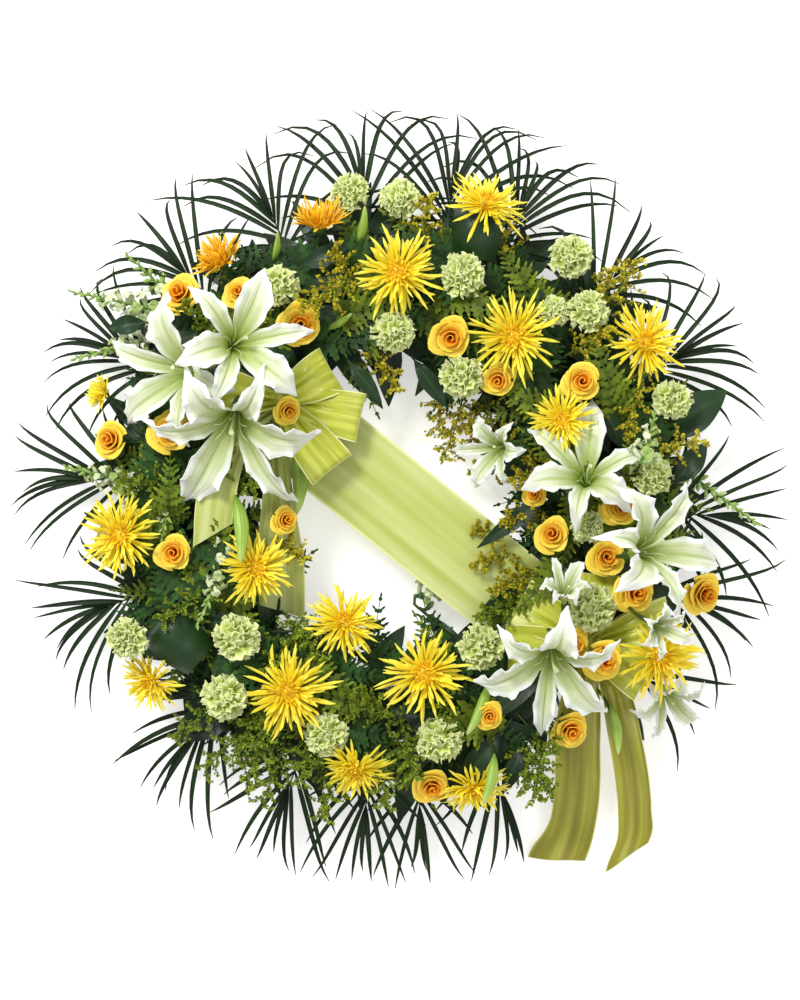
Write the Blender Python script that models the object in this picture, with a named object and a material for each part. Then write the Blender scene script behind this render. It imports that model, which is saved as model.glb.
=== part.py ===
"""A round funeral wreath, laid face up: blooms and greenery on stems in a ring of floral foam.

Frame: metres, +Z up out of the face, +Y towards the top of the wreath, origin under the ring's
centre on the surface that it lies on. Plan positions in the tables are millimetres.
"""

import math
import random

import bmesh
import bpy
import numpy as np
from mathutils import Matrix, Vector

MM = 0.001
UP = Vector((0.0, 0.0, 1.0))

# The ring that everything stands in
FOAM_INNER_R = 0.220
FOAM_OUTER_R = 0.300
FOAM_TOP = 0.050
FOAM_CHAMFER = 0.008
TRAY_WALL = 0.002
TRAY_LIP = 0.016
GAP = 0.0003
RING_STEPS = 24
RING_MID_R = (FOAM_INNER_R + FOAM_OUTER_R) / 2

# Stems and the holes they stand in
STEM_R = 0.0019
HOLE_CORNER_R = 0.0050
HOLE_FLOOR = 0.036
FORK_Z = 0.060
FORK_R = 0.0042
ROOT_SPACING = 0.0125
ROOT_BAND = 0.028

# The mound of blooms: an ellipse round the ring's core
CORE_Z = 0.030
MOUND_A = 0.150
MOUND_B = 0.102
LEAN = 0.55
LIFT_STEP = 0.004
LIFT_STEPS = 40
LOWER_STEPS = 7
CLEAR = 0.0010

# The ribbon
RIBBON_T = 0.0008
SASH_WIDTH = 0.113
SASH_BEARING = math.radians(141.2)
SASH_OFFSET = 0.006
SASH_HALF = 0.243
SASH_TOP = 0.074
SASH_SAG = 0.005
LOOP_WIDTH = 0.058
TAIL_WIDTH = 0.062

# How far the palm's leaflets reach
FROND_REACH = 0.470

PAINT = {
    "tray": ((0.02, 0.05, 0.03), 0.5),
    "foam": ((0.05, 0.16, 0.06), 0.95),
    "ribbon": ((0.55, 0.58, 0.12), 0.35),
    "lily": ((0.86, 0.88, 0.80), 0.5),
    "mum": ((0.90, 0.68, 0.04), 0.6),
    "rose": ((0.93, 0.50, 0.03), 0.6),
    "carnation": ((0.62, 0.75, 0.36), 0.7),
    "green": ((0.03, 0.10, 0.03), 0.5),
    "spike": ((0.42, 0.60, 0.25), 0.6),
    "bud": ((0.35, 0.52, 0.10), 0.45),
}

# What grows where. A head is (plan x, plan y, radius), and a lily, a mum or a bud may add the plan
# part (x, y) of the way it faces. Heads in one group branch from one stem.
CARNATIONS = {
    "carnations_north": ((78, 270, 25), (-6, 203, 23), (78, 150, 25)),
    "carnations_north_west": ((2, 367, 22), (-59, 377, 21), (-144, 258, 22)),
    "carnations_north_east": ((210, 295, 24), (230, 228, 23), (189, 228, 17)),
    "carnations_east": ((334, 121, 22), (307, 29, 23)),
    "carnations_south_east": ((232, -131, 26), (229, -34, 18)),
    "carnations_south": ((100, -179, 25), (49, -292, 25)),
    "carnations_south_west": ((-195, -168, 26), (-327, -168, 22)),
    "carnations_south_south_west": ((-210, -240, 25), (-87, -285, 23)),
}
ROSES = {
    "roses_north_west": ((-266, 251, 25), (-193, 250, 19)),
    "roses_north": ((-118, 212, 26), (-132, 106, 17)),
    "roses_west": ((-276, 82, 26), (-351, 72, 22)),
    "roses_west_south_west": ((-272, -65, 22), (-137, -26, 17)),
    "roses_north_east": ((63, 196, 25), (122, 145, 20), (223, 142, 23)),
    "roses_east": ((268, -9, 23), (253, -70, 23), (187, -44, 22), (166, 7, 16)),
    "roses_east_south_east": ((287, -112, 25), (377, -117, 25)),
    "roses_south_east": ((213, -175, 20), (248, -194, 24), (211, -283, 22)),
    "roses_south": ((41, -351, 22), (111, -262, 17)),
}
MUMS = {
    "mums_north_west": ((-95, 331, 42, (0.0, 0.8)), (-215, 288, 40)),
    "mums_north": ((0, 273, 56), (106, 356, 54)),
    "mums_north_east": ((140, 196, 58), (198, 96, 42)),
    "mums_east": ((301, 190, 54),),
    "mums_west": ((-337, -44, 56), (-360, 129, 26)),
    "mums_south_west": ((-172, -84, 50), (-65, -150, 50)),
    "mums_south_south_west": ((-303, -223, 42), (-132, -233, 58)),
    "mums_south": ((33, -211, 58), (-51, -329, 44), (93, -353, 44)),
    "mums_south_east": ((316, -190, 56),),
}
LILIES = {
    "lilies_north_west": (
        (-262, 152, 78, (-0.75, -0.1)),
        (-198, 84, 88, (-0.1, -0.8)),
        (-189, 185, 84, (0.25, 0.1)),
    ),
    "lily_north_east": ((121, 61, 55, (-0.6, -0.2)),),
    "lilies_east": ((226, 30, 74, (-0.1, 0.45)), (300, -58, 84, (0.75, 0.25))),
    "lilies_south_east": ((198, -111, 52, (0.0, 0.8)), (305, -150, 48, (0.5, -0.3))),
    "lily_south_east": ((182, -196, 88, (-0.05, -0.8)),),
    "lily_south_east_low": ((329, -245, 56, (0.35, -0.9)),),
}
# A bud is (x, y, length, way it points in plan), a spike the same
BUDS = {
    "buds_north": ((-71, 216, 40, (0.5, 0.3)), (-46, 331, 55, (0.2, 0.9)), (-150, 309, 40, (0.1, 0.5))),
    "buds_south": ((96, -255, 66, (-0.4, -0.9)), (109, -337, 62, (-0.25, -1.0))),
    "buds_west": ((-126, 30, 100, (0.05, -1.0)), (-193, -36, 84, (0.1, -1.0))),
}
SPIKES = {
    "spikes_north_west": (
        (-345, 188, 110, (-1.0, -0.3)),
        (-350, 244, 100, (-1.0, 0.2)),
        (-309, 276, 70, (-0.6, 0.6)),
    ),
    "spikes_west": ((-366, 29, 80, (-0.8, 0.2)), (-283, -10, 80, (-0.1, -1.0))),
    "spikes_south_west": ((-221, -99, 110, (-0.4, -1.0)),),
    "spikes_east": ((393, 5, 120, (0.8, -0.6)), (298, 72, 60, (0.2, 0.8))),
    "spike_south": ((60, -112, 80, (0.9, 0.2)),),
}
# Goldenrod goes with the mums: (group, plan x, plan y, length, way it points)
GOLDENROD = (
    ("mums_north", -83, 250, 70, (-0.6, -0.4)),
    ("mums_north_east", 70, 95, 75, (-0.3, -1.0)),
    ("mums_east", 290, 125, 80, (-0.3, -1.0)),
    ("mums_west", -211, 23, 70, (0.8, -0.2)),
    ("mums_south_west", -120, -165, 70, (0.5, -0.6)),
    ("mums_south_south_west", -172, -300, 80, (-0.2, -1.0)),
    ("mums_south", -20, -262, 70, (-0.7, 0.4)),
    ("mums_south", 149, -335, 75, (0.8, -0.5)),
)
UPPER_KNOT = Vector((-0.146, 0.120, 0.096))
LOWER_KNOT = Vector((0.236, -0.178, 0.088))
# A bow's loop is (bearing in degrees, length in millimetres, lift of its upper arm)
UPPER_LOOPS = ((-12, 104, 22), (-52, 108, 22), (30, 76, 22), (172, 78, 22))
LOWER_LOOPS = ((149, 104, 22), (183, 104, 22), (84, 88, 22), (17, 104, 22), (-32, 80, 22))
# Each tail's centre line, from under its knot to its cut end: (x, y, z) in millimetres
TAIL_LEFT = (
    (236, -180, 84), (220, -222, 80), (208, -300, 68), (206, -350, 46), (203, -392, 24), (192, -428, 8),
    (178, -455, 4),
)
TAIL_RIGHT = (
    (238, -180, 86), (258, -222, 82), (275, -300, 68), (283, -350, 46), (284, -392, 24), (277, -425, 10),
    (266, -450, 6),
)
STREAMER = (
    (-146, 118, 92), (-148, 84, 83), (-147, 36, 81), (-144, -20, 76), (-139, -80, 71), (-133, -136, 67),
)
# Each clump of leaves: the bearings, in degrees, of its palm fronds, and then of its ferns
OUTER_CLUMPS = (
    ((-3.0, -19.5), (-11.0,)),
    ((45.8, 26.9), ()),
    ((67.0, 80.0), ()),
    ((96.6, 114.0), ()),
    ((133.3, 152.4), (124.0,)),
    ((176.3, -159.7), ()),
    ((-130.5, -110.8), (-121.0,)),
    ((-96.0, -86.0), (-103.0,)),
    ((-70.6,), ()),
    ((-36.0,), (-27.0,)),
)
INNER_CLUMPS = ((), (-100.0, -76.0)), ((), (68.0,)), ((), (-148.0,))
# Broad leaves on the outer clumps: (clump, plan x, plan y, length, width, way it points, rolled)
BROAD_LEAVES = (
    (2, 96, 318, 78, 60, (0.1, 1.0), True),
    (6, -262, -176, 88, 62, (-0.8, 0.7), True),
    (6, -236, -272, 90, 46, (-0.9, -0.5), False),
    (1, 360, 104, 100, 50, (0.85, 0.55), False),
    (3, -110, 286, 80, 24, (0.9, -0.3), False),
    (8, 120, -300, 90, 26, (0.4, -0.9), False),
)

LILY_ROLLS = tuple(math.radians(a) for a in range(0, 60, 6))
roots = []


def plan(x, y, z=0.0):
    """A table's plan position, in millimetres, as a point in metres."""
    return Vector((x * MM, y * MM, z))


class Space:
    """The room already in use, as balls, each with the name of what uses it."""

    def __init__(self):
        self.at = np.zeros((0, 3))
        self.radius = np.zeros(0)
        self.owner = np.zeros(0, dtype=int)
        self.names = {}

    def number(self, name):
        return self.names.setdefault(name, len(self.names))

    def take(self, points, radius, name):
        at = np.array([tuple(p) for p in points])
        self.at = np.vstack((self.at, at))
        self.radius = np.append(self.radius, np.broadcast_to(radius, len(at)))
        self.owner = np.append(self.owner, np.full(len(at), self.number(name)))

    def free(self, points, radius, names=()):
        """Whether balls at points miss the foam, the surface below and the balls of all others."""
        at = np.array([tuple(p) for p in points])
        radius = np.broadcast_to(radius, len(at))
        reach = np.hypot(at[:, 0], at[:, 1])
        half = (FOAM_OUTER_R - FOAM_INNER_R) / 2
        over_foam = np.abs(reach - RING_MID_R) < half + 0.004 + radius
        if (over_foam & (at[:, 2] < FOAM_TOP + 0.001 + radius)).any():
            return False
        if (at[:, 2] < 0.003 + radius).any():
            return False
        low = at.min(axis=0) - radius.max() - CLEAR
        high = at.max(axis=0) + radius.max() + CLEAR
        wide = self.radius[:, None]
        near = ((self.at + wide > low) & (self.at - wide < high)).all(axis=1)
        near &= ~np.isin(self.owner, [self.number(name) for name in names])
        apart = np.linalg.norm(at[:, None, :] - self.at[None, near], axis=2)
        return bool((apart > self.radius[None, near] + radius[:, None] + CLEAR).all())


space = Space()


def dense(points, step=0.004):
    """Points close together along a path."""
    found = [points[0]]
    for a, b in zip(points, points[1:]):
        count = max(1, math.ceil((b - a).length / step))
        found += [a.lerp(b, (k + 1) / count) for k in range(count)]
    return found


def material(name):
    if name in bpy.data.materials:
        return bpy.data.materials[name]
    colour, roughness = PAINT[name]
    made = bpy.data.materials.new(name)
    made.use_nodes = True
    shader = made.node_tree.nodes["Principled BSDF"]
    shader.inputs["Base Color"].default_value = (*colour, 1.0)
    shader.inputs["Roughness"].default_value = roughness
    return made


def add_object(name, bm, paint):
    """The bmesh as a named object in the scene."""
    bmesh.ops.triangulate(bm, faces=bm.faces)
    bmesh.ops.recalc_face_normals(bm, faces=bm.faces)
    mesh = bpy.data.meshes.new(name)
    bm.to_mesh(mesh)
    bm.free()
    mesh.materials.append(material(paint))
    made = bpy.data.objects.new(name, mesh)
    bpy.context.scene.collection.objects.link(made)
    return made


def union(name, pieces, paint):
    """Overlapping closed bodies, given as bmeshes, joined into one object."""
    whole = add_object(name, pieces[0], paint)
    if len(pieces) == 1:
        return whole
    others = bpy.data.collections.new(name + "_pieces")
    bpy.context.scene.collection.children.link(others)
    for i, bm in enumerate(pieces[1:]):
        piece = add_object(f"{name}_{i}", bm, paint)
        bpy.context.scene.collection.objects.unlink(piece)
        others.objects.link(piece)
    join = whole.modifiers.new("join", "BOOLEAN")
    join.operation = "UNION"
    join.solver = "MANIFOLD"
    join.operand_type = "COLLECTION"
    join.collection = others
    apply_boolean(whole)
    for piece in list(others.objects):
        bpy.data.objects.remove(piece)
    bpy.data.collections.remove(others)
    return whole


def apply_boolean(whole):
    """Applies an object's Boolean, and joins the slivers that it leaves on flat faces."""
    graph = bpy.context.evaluated_depsgraph_get()
    mesh = bpy.data.meshes.new_from_object(whole.evaluated_get(graph))
    whole.modifiers.clear()
    whole.data = mesh
    bm = bmesh.new()
    bm.from_mesh(mesh)
    bmesh.ops.dissolve_limit(bm, angle_limit=math.radians(0.5), verts=bm.verts, edges=bm.edges)
    bmesh.ops.triangulate(bm, faces=bm.faces)
    bm.to_mesh(mesh)
    bm.free()


def skin(bm, a, b):
    """Faces between two rings of vertices. Opposite sides split alike, so that a thin blade stays sound."""
    n = len(a)
    for i in range(n):
        j = (i + 1) % n
        if i < n / 2:
            bm.faces.new((a[i], a[j], b[j]))
            bm.faces.new((a[i], b[j], b[i]))
        else:
            bm.faces.new((a[i], a[j], b[i]))
            bm.faces.new((a[j], b[j], b[i]))


def fan(bm, ring, tip):
    for i, vertex in enumerate(ring):
        bm.faces.new((vertex, ring[(i + 1) % len(ring)], tip))


def cap(bm, ring):
    """A flat end, as a fan from the ring's first vertex."""
    for i in range(1, len(ring) - 1):
        bm.faces.new((ring[0], ring[i], ring[i + 1]))


def steady_side(ways):
    """The direction that lies least along any of these ways."""
    run = sum(ways, Vector())
    level = Vector((-run.y, run.x, 0.0))
    choices = [Vector((1.0, 0.0, 0.0)), Vector((0.0, 1.0, 0.0)), UP]
    if level.length > 0.2:
        choices.insert(0, level.normalized())
    return min(choices, key=lambda side: max(abs(way.dot(side)) for way in ways))


def frames_along(points, side=None):
    """At each point of a path: the point, the way along it, a sideways vector and the third vector."""
    ways = []
    for i in range(len(points)):
        ways.append((points[min(i + 1, len(points) - 1)] - points[max(i - 1, 0)]).normalized())
    side = side or steady_side(ways)
    frames = []
    for point, along in zip(points, ways):
        across = (side - along * side.dot(along)).normalized()
        frames.append((point, along, across, across.cross(along).normalized()))
    return frames


def polygon(bm, point, across, over, radius, sides):
    """A ring of vertices round a point."""
    angles = [math.tau * (k + 0.5) / sides for k in range(sides)]
    return [bm.verts.new(point + (across * math.cos(a) + over * math.sin(a)) * radius) for a in angles]


def rod(points, radius, sides=3):
    """A stem along points, closed at both ends."""
    bm = bmesh.new()
    rings = []
    for point, _, across, over in frames_along(points):
        rings.append(polygon(bm, point, across, over, radius, sides))
    for a, b in zip(rings, rings[1:]):
        skin(bm, a, b)
    cap(bm, rings[0])
    cap(bm, list(reversed(rings[-1])))
    return bm


def strip(points, widths, thickness, side=None):
    """A thin band along points."""
    bm = bmesh.new()
    rings = []
    for (point, _, across, over), width in zip(frames_along(points, side), widths):
        half = across * width / 2
        top = over * thickness / 2
        corners = (point - half - top, point + half - top, point + half + top, point - half + top)
        rings.append([bm.verts.new(corner) for corner in corners])
    for a, b in zip(rings, rings[1:]):
        skin(bm, a, b)
    cap(bm, rings[0])
    cap(bm, list(reversed(rings[-1])))
    return bm


def grow(bm, corners, centre, half_across, half_over, tip):
    """Grows a blade from an opening with four corners, through a ring round centre, to its tip."""
    middle = sum((c.co for c in corners), Vector()) / 4
    signs = [((c.co - middle).dot(half_across), (c.co - middle).dot(half_over)) for c in corners]
    wide, high = half_across.length, half_over.length
    order = sorted(range(4), key=lambda k: math.atan2(signs[k][1] / high, signs[k][0] / wide))
    places = dict(zip(order, ((-1, -1), (1, -1), (1, 1), (-1, 1))))
    ring = [bm.verts.new(centre + half_across * places[k][0] + half_over * places[k][1]) for k in range(4)]
    first = order[0]
    skin(bm, corners[first:] + corners[:first], ring[first:] + ring[:first])
    fan(bm, ring, bm.verts.new(tip))


def add_stem(bm, mouth, path, sides=3):
    """Closes a body's open lower ring with a stem that runs down along path."""
    frames = frames_along(path)[1:]
    rings = []
    for point, _, across, over in frames:
        rings.append(polygon(bm, point, across, over, STEM_R, sides))
    way = (path[1] - path[0]).normalized()
    throat = path[0] + way * 0.004
    drift = throat - frames[0][0]
    rings.insert(0, [bm.verts.new(v.co + drift) for v in rings[0]])
    bridge(bm, mouth, rings[0], way)
    for a, b in zip(rings, rings[1:]):
        skin(bm, a, b)
    cap(bm, rings[-1])


def bridge(bm, ring_a, ring_b, way):
    """Joins two rings with different numbers of vertices, in step round their common direction."""
    side = steady_side([way])
    side = (side - way * side.dot(way)).normalized()
    other = way.cross(side)

    def in_turn(ring):
        middle = sum((v.co for v in ring), Vector()) / len(ring)
        turns = []
        for vertex in ring:
            arm = vertex.co - middle
            turns.append((math.atan2(arm.dot(other), arm.dot(side)) % math.tau, vertex))
        return sorted(turns, key=lambda turn: turn[0])

    a, b = in_turn(ring_a), in_turn(ring_b)
    i = j = 0
    while i < len(a) or j < len(b):
        next_a = a[(i + 1) % len(a)][0] + math.tau * ((i + 1) // len(a)) if i < len(a) else 99
        next_b = b[(j + 1) % len(b)][0] + math.tau * ((j + 1) // len(b)) if j < len(b) else 99
        here_a, here_b = a[i % len(a)][1], b[j % len(b)][1]
        if next_a <= next_b:
            bm.faces.new((here_a, a[(i + 1) % len(a)][1], here_b))
            i += 1
        else:
            bm.faces.new((here_a, b[(j + 1) % len(b)][1], here_b))
            j += 1


def bezier(p0, p1, p2, p3, count):
    points = []
    for i in range(count):
        t = i / (count - 1)
        s = 1 - t
        points.append(p0 * s ** 3 + p1 * 3 * s * s * t + p2 * 3 * s * t * t + p3 * t ** 3)
    return points


def dome(rings, count, closed=False):
    """A body from rings of (radius, height, in-and-out wave, up-and-down wave) between two poles.

    Unless closed, it is left open below, where add_stem closes it.
    """
    bm = bmesh.new()
    made = []
    for k, entry in enumerate(rings[1:-1]):
        radius, height, wave, lift = (*entry, 0.0, 0.0)[:4]
        ring = []
        for i in range(count):
            angle = math.tau * i / count
            sign = 1 if (i + k) % 2 else -1
            reach = radius * (1 + wave * sign)
            place = (reach * math.cos(angle), reach * math.sin(angle), height + lift * sign)
            ring.append(bm.verts.new(place))
        made.append(ring)
    if closed:
        fan(bm, list(reversed(made[0])), bm.verts.new((0, 0, rings[0][1])))
    for a, b in zip(made, made[1:]):
        for i in range(count):
            j = (i + 1) % count
            bm.faces.new((a[i], a[j], b[j], b[i]))
    fan(bm, made[-1], bm.verts.new((0, 0, rings[-1][1])))
    return bm, made


def ring_profile(name, profile, paint):
    """A solid of revolution about Z from a closed outline of (radius, height)."""
    bm = bmesh.new()
    rings = []
    for step in range(RING_STEPS):
        angle = math.tau * step / RING_STEPS
        rings.append([bm.verts.new((r * math.cos(angle), r * math.sin(angle), z)) for r, z in profile])
    for a, b in zip(rings, rings[1:] + rings[:1]):
        for i in range(len(profile)):
            j = (i + 1) % len(profile)
            bm.faces.new((a[i], a[j], b[j], b[i]))
    return add_object(name, bm, paint)


def make_tray():
    inner = FOAM_INNER_R - GAP
    outer = FOAM_OUTER_R + GAP
    ring_profile("base_tray", (
        (inner - TRAY_WALL, 0.0), (outer + TRAY_WALL, 0.0), (outer + TRAY_WALL, TRAY_LIP), (outer, TRAY_LIP),
        (outer, TRAY_WALL), (inner, TRAY_WALL), (inner, TRAY_LIP), (inner - TRAY_WALL, TRAY_LIP),
    ), "tray")


def make_foam():
    """The foam ring, with one hole for each stem that stands in it."""
    foot = TRAY_WALL + GAP
    foam = ring_profile("foam_ring", (
        (FOAM_INNER_R, foot), (FOAM_OUTER_R, foot), (FOAM_OUTER_R, FOAM_TOP - FOAM_CHAMFER),
        (FOAM_OUTER_R - FOAM_CHAMFER, FOAM_TOP), (FOAM_INNER_R + FOAM_CHAMFER, FOAM_TOP),
        (FOAM_INNER_R, FOAM_TOP - FOAM_CHAMFER),
    ), "foam")
    holes = bmesh.new()
    for root in roots:
        rings = []
        turns = [math.tau * k / 3 for k in range(3)]
        corners = [Vector((math.cos(a), math.sin(a), 0.0)) * HOLE_CORNER_R for a in turns]
        for z in (HOLE_FLOOR, FOAM_TOP + 0.004):
            rings.append([holes.verts.new((root.x + c.x, root.y + c.y, z)) for c in corners])
        skin(holes, rings[0], rings[1])
        cap(holes, rings[0])
        cap(holes, list(reversed(rings[1])))
    cutter = add_object("stem_holes", holes, "foam")
    cut = foam.modifiers.new("stem_holes", "BOOLEAN")
    cut.operation = "DIFFERENCE"
    cut.solver = "MANIFOLD"
    cut.object = cutter
    apply_boolean(foam)
    bpy.data.objects.remove(cutter)


def in_sash_seat(point):
    """Whether a plan point lies under an end of the sash, where no stem may stand."""
    along = Vector((math.cos(SASH_BEARING), math.sin(SASH_BEARING), 0.0))
    across = Vector((-along.y, along.x, 0.0))
    aside = abs(point.dot(across) - SASH_OFFSET)
    return aside < SASH_WIDTH / 2 + 0.006 and abs(point.dot(along)) < SASH_HALF + 0.006


def place_root(wanted, name):
    """The free place in the foam's top nearest to a plan point, marked as used by name."""
    bearing = math.atan2(wanted.y, wanted.x)
    reach = math.hypot(wanted.x, wanted.y)
    best = RING_MID_R + max(-ROOT_BAND, min(ROOT_BAND, (reach - RING_MID_R) * 0.28))
    for turn in range(90):
        for shift in (0.0, 0.013, -0.013, 0.026, -0.026, 0.04, -0.04):
            for sign in (1, -1):
                r = best + shift
                angle = bearing + sign * math.radians(turn)
                at = Vector((r * math.cos(angle), r * math.sin(angle), FOAM_TOP))
                if abs(r - RING_MID_R) > ROOT_BAND or in_sash_seat(at):
                    continue
                column = [at + UP * z for z in (0.010, 0.018, 0.026, 0.036, 0.046, 0.056, 0.066)]
                if not space.free(column, 0.0034):
                    continue
                if all((at - other).length > ROOT_SPACING for other in roots):
                    roots.append(at)
                    space.take([at + UP * z for z in (0.004, 0.010)], FORK_R, name)
                    return at
    raise RuntimeError("no room for another stem in the foam")


def facing(head):
    """The way a bloom looks: out from the ring's core, or as its table entry says."""
    if len(head) > 3:
        return Vector((head[3][0], head[3][1], 1.0)).normalized()
    at = plan(head[0], head[1])
    lean = LEAN * math.atan2(at.length - RING_MID_R, MOUND_B)
    return (at.normalized() * math.sin(lean) + UP * math.cos(lean)).normalized()


def mound_height(at):
    offset = min(abs(at.length - RING_MID_R), MOUND_A * 0.86)
    return CORE_Z + MOUND_B * math.sqrt(1 - (offset / MOUND_A) ** 2)


def local_frame(centre, axis, roll=0.0):
    """A matrix whose Z is axis and whose origin is centre."""
    across = Vector((1.0, 0.0, 0.0))
    across = (across - axis * across.dot(axis)).normalized()
    across = Matrix.Rotation(roll, 3, axis) @ across
    rotation = Matrix((across, axis.cross(across), axis)).transposed().to_4x4()
    return Matrix.Translation(centre) @ rotation


def stem_choices(base, axis, fork):
    """Paths that a stem may take from a head down to its fork, the straightest first."""
    yield [base, fork]
    reach = min(0.03, (base - fork).length / 3)
    for bow in (0.0, 0.012, 0.024, 0.036, 0.050, 0.068, 0.090):
        for turn in range(8 if bow else 1):
            angle = math.tau * turn / 8
            way = Vector((math.cos(angle), math.sin(angle), 0.0)) * bow
            yield [base, base.lerp(fork, 0.5) + way, fork]
            for rise in (0.014, 0.034, 0.060):
                yield bezier(base, base - axis * reach + way, fork + UP * rise + way, fork, 4)


def find_stem(base, axis, root, names):
    """The first path from a head to its fork that is free, or None."""
    fork = Vector((root.x, root.y, FORK_Z))
    for path in stem_choices(base, axis, fork):
        if (path[1] - path[0]).normalized().dot(axis) > -0.12:
            continue
        if space.free(dense(path)[:-1], STEM_R + 0.0004, names):
            return path
    return None


def settle(group, number, head, shape, depth, root, start=0.0, rolls=(0.0,)):
    """Seats a head: it is raised or lowered in small steps, and turned, until it and its stem are free.

    shape is the (points, radii) of balls that stand for it, in the head's own frame. depth is how far
    under its centre the stem starts.
    """
    at = plan(head[0], head[1])
    axis = facing(head)
    own = f"{group}/{number}"
    stems = f"{group}/stems"
    for step in sorted(range(-LOWER_STEPS, LIFT_STEPS), key=abs):
        centre = Vector((at.x, at.y, mound_height(at) + start + step * LIFT_STEP))
        for roll in rolls:
            frame = local_frame(centre, axis, roll)
            points = [frame @ Vector(p) for p in shape[0]]
            if not space.free(points, shape[1]):
                continue
            path = find_stem(centre - axis * depth, axis, root, (own, stems))
            if path:
                space.take(points, shape[1], own)
                space.take(dense(path), STEM_R + 0.0004, stems)
                return frame, path
    raise RuntimeError(f"no free seat for {group} at {head[:2]}")


def ball(radius):
    return ((0, 0, 0),), np.array([radius])


def mum_shape(radius):
    """Balls for a mum's centre and for the room that its fringe needs."""
    points = [(0, 0, 0)]
    for i in range(12):
        angle = math.tau * i / 12
        points.append((0.62 * radius * math.cos(angle), 0.62 * radius * math.sin(angle), 0.12 * radius))
    return points, np.array([0.36 * radius] + [0.005] * 12)


def tepal_line(share):
    """A lily tepal's height and half width at this share of its reach, as shares of the radius."""
    height = np.interp(share, (0.0, 0.24, 0.50, 0.78, 1.0), (-0.45, -0.14, 0.05, 0.06, -0.05))
    half = np.interp(share, (0.0, 0.24, 0.50, 0.78, 1.0), (0.03, 0.125, 0.185, 0.12, 0.0))
    return height, half


def lily_shape(radius):
    """Balls for a lily: its throat, and rows of small ones across its six tepals."""
    points = [(0, 0, -0.52 * radius), (0, 0, -0.38 * radius), (0, 0, -0.24 * radius)]
    radii = [0.09 * radius, 0.13 * radius, 0.19 * radius]
    for i in range(6):
        angle = math.tau * i / 6
        x, y = math.cos(angle), math.sin(angle)
        for share in np.linspace(0.22, 0.97, 11):
            height, half = tepal_line(share)
            for across in (-0.85, -0.4, 0.0, 0.4, 0.85):
                side = across * half
                place = (x * share - y * side, y * share + x * side, height)
                points.append(tuple(c * radius for c in place))
                radii.append(0.0032)
    return points, np.array(radii)


def rod_shape(length, radius):
    points = [(0, 0, length * t) for t in np.linspace(-0.45, 0.45, 9)]
    return points, np.full(9, radius)


def carnation_head(radius):
    """A ball of ruffled petals: the points of each ring stand in and out by turns."""
    rings = [(0, -0.72 * radius)]
    for degrees, wave, lift in ((-48, 0.03, 0.0), (-4, 0.12, 0.06), (28, 0.13, 0.08), (58, 0.2, 0.09)):
        angle = math.radians(degrees)
        rings.append((0.86 * radius * math.cos(angle), 0.78 * radius * math.sin(angle), wave, lift * radius))
    rings.append((0, 0.70 * radius))
    return dome(rings, 8)


def rose_head(radius):
    """Two wrapped layers of petals round a bud: raised, lobed rims with valleys between them."""
    r = radius
    return dome((
        (0, -0.86 * r), (0.66 * r, -0.48 * r, 0.04), (0.90 * r, 0.20 * r, 0.05, 0.06 * r),
        (0.64 * r, 0.08 * r, 0.05), (0.56 * r, 0.46 * r, 0.07, 0.05 * r), (0.32 * r, 0.26 * r, 0.06),
        (0, 0.58 * r),
    ), 8)


def mum_head(radius, frame, own, stems):
    """A domed centre with a fringe of long narrow petals, each bent clear of its neighbours."""
    core = 0.36 * radius
    count = 8
    bm, rings = dome((
        (0, -0.72 * core), (0.92 * core, -0.20 * core), (0.94 * core, 0.22 * core),
        (0.66 * core, 0.62 * core), (0, 0.86 * core),
    ), count)
    for low, high, share, rise in ((0, 1, 1.0, 5.0), (1, 2, 0.74, 34.0)):
        for i in range(count):
            j = (i + 1) % count
            corners = [rings[low][i], rings[low][j], rings[high][j], rings[high][i]]
            grow_ray(bm, corners, radius * share, rise + 5.0 * (i % 3 - 1), low == 0, frame, (own, stems))
    return bm, rings


def grow_ray(bm, corners, reach, rise, bent, frame, names):
    """One petal from a face of the centre: turned up or down, or shortened, until it is free."""
    middle = sum((c.co for c in corners), Vector()) / 4
    out = Vector((middle.x, middle.y, 0.0)).normalized()
    start = Vector((middle.x, middle.y, 0.0)).length
    across = Vector((-out.y, out.x, 0.0))
    tries = ((1, 0), (1, 14), (1, -12), (1, 28), (0.8, 0), (0.8, 30), (0.64, 10), (0.64, 45), (0.5, 60))
    for share, lift in tries:
        angle = math.radians(rise + lift)
        way = out * math.cos(angle) + UP * math.sin(angle)
        run = max(reach * share - start, 0.005)
        knee = middle + way * run * 0.5
        tip = middle + way * run + UP * run * 0.08
        line = dense([frame @ middle.lerp(knee, 0.35), frame @ knee, frame @ tip])
        if space.free(line, 0.0026, names):
            break
    else:
        run = 0.004
        knee = middle + out * run * 0.5
        tip = middle + out * run
        line = [frame @ knee]
    space.take(line, 0.0026, names[0])
    face = next(f for f in corners[0].link_faces if all(c in f.verts for c in corners))
    bm.faces.remove(face)
    if bent and run > 0.01:
        over = across.cross(way).normalized()
        grow(bm, corners, knee, across * 0.0024, over * 0.0013, tip)
    else:
        fan(bm, corners, bm.verts.new(tip))


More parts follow.
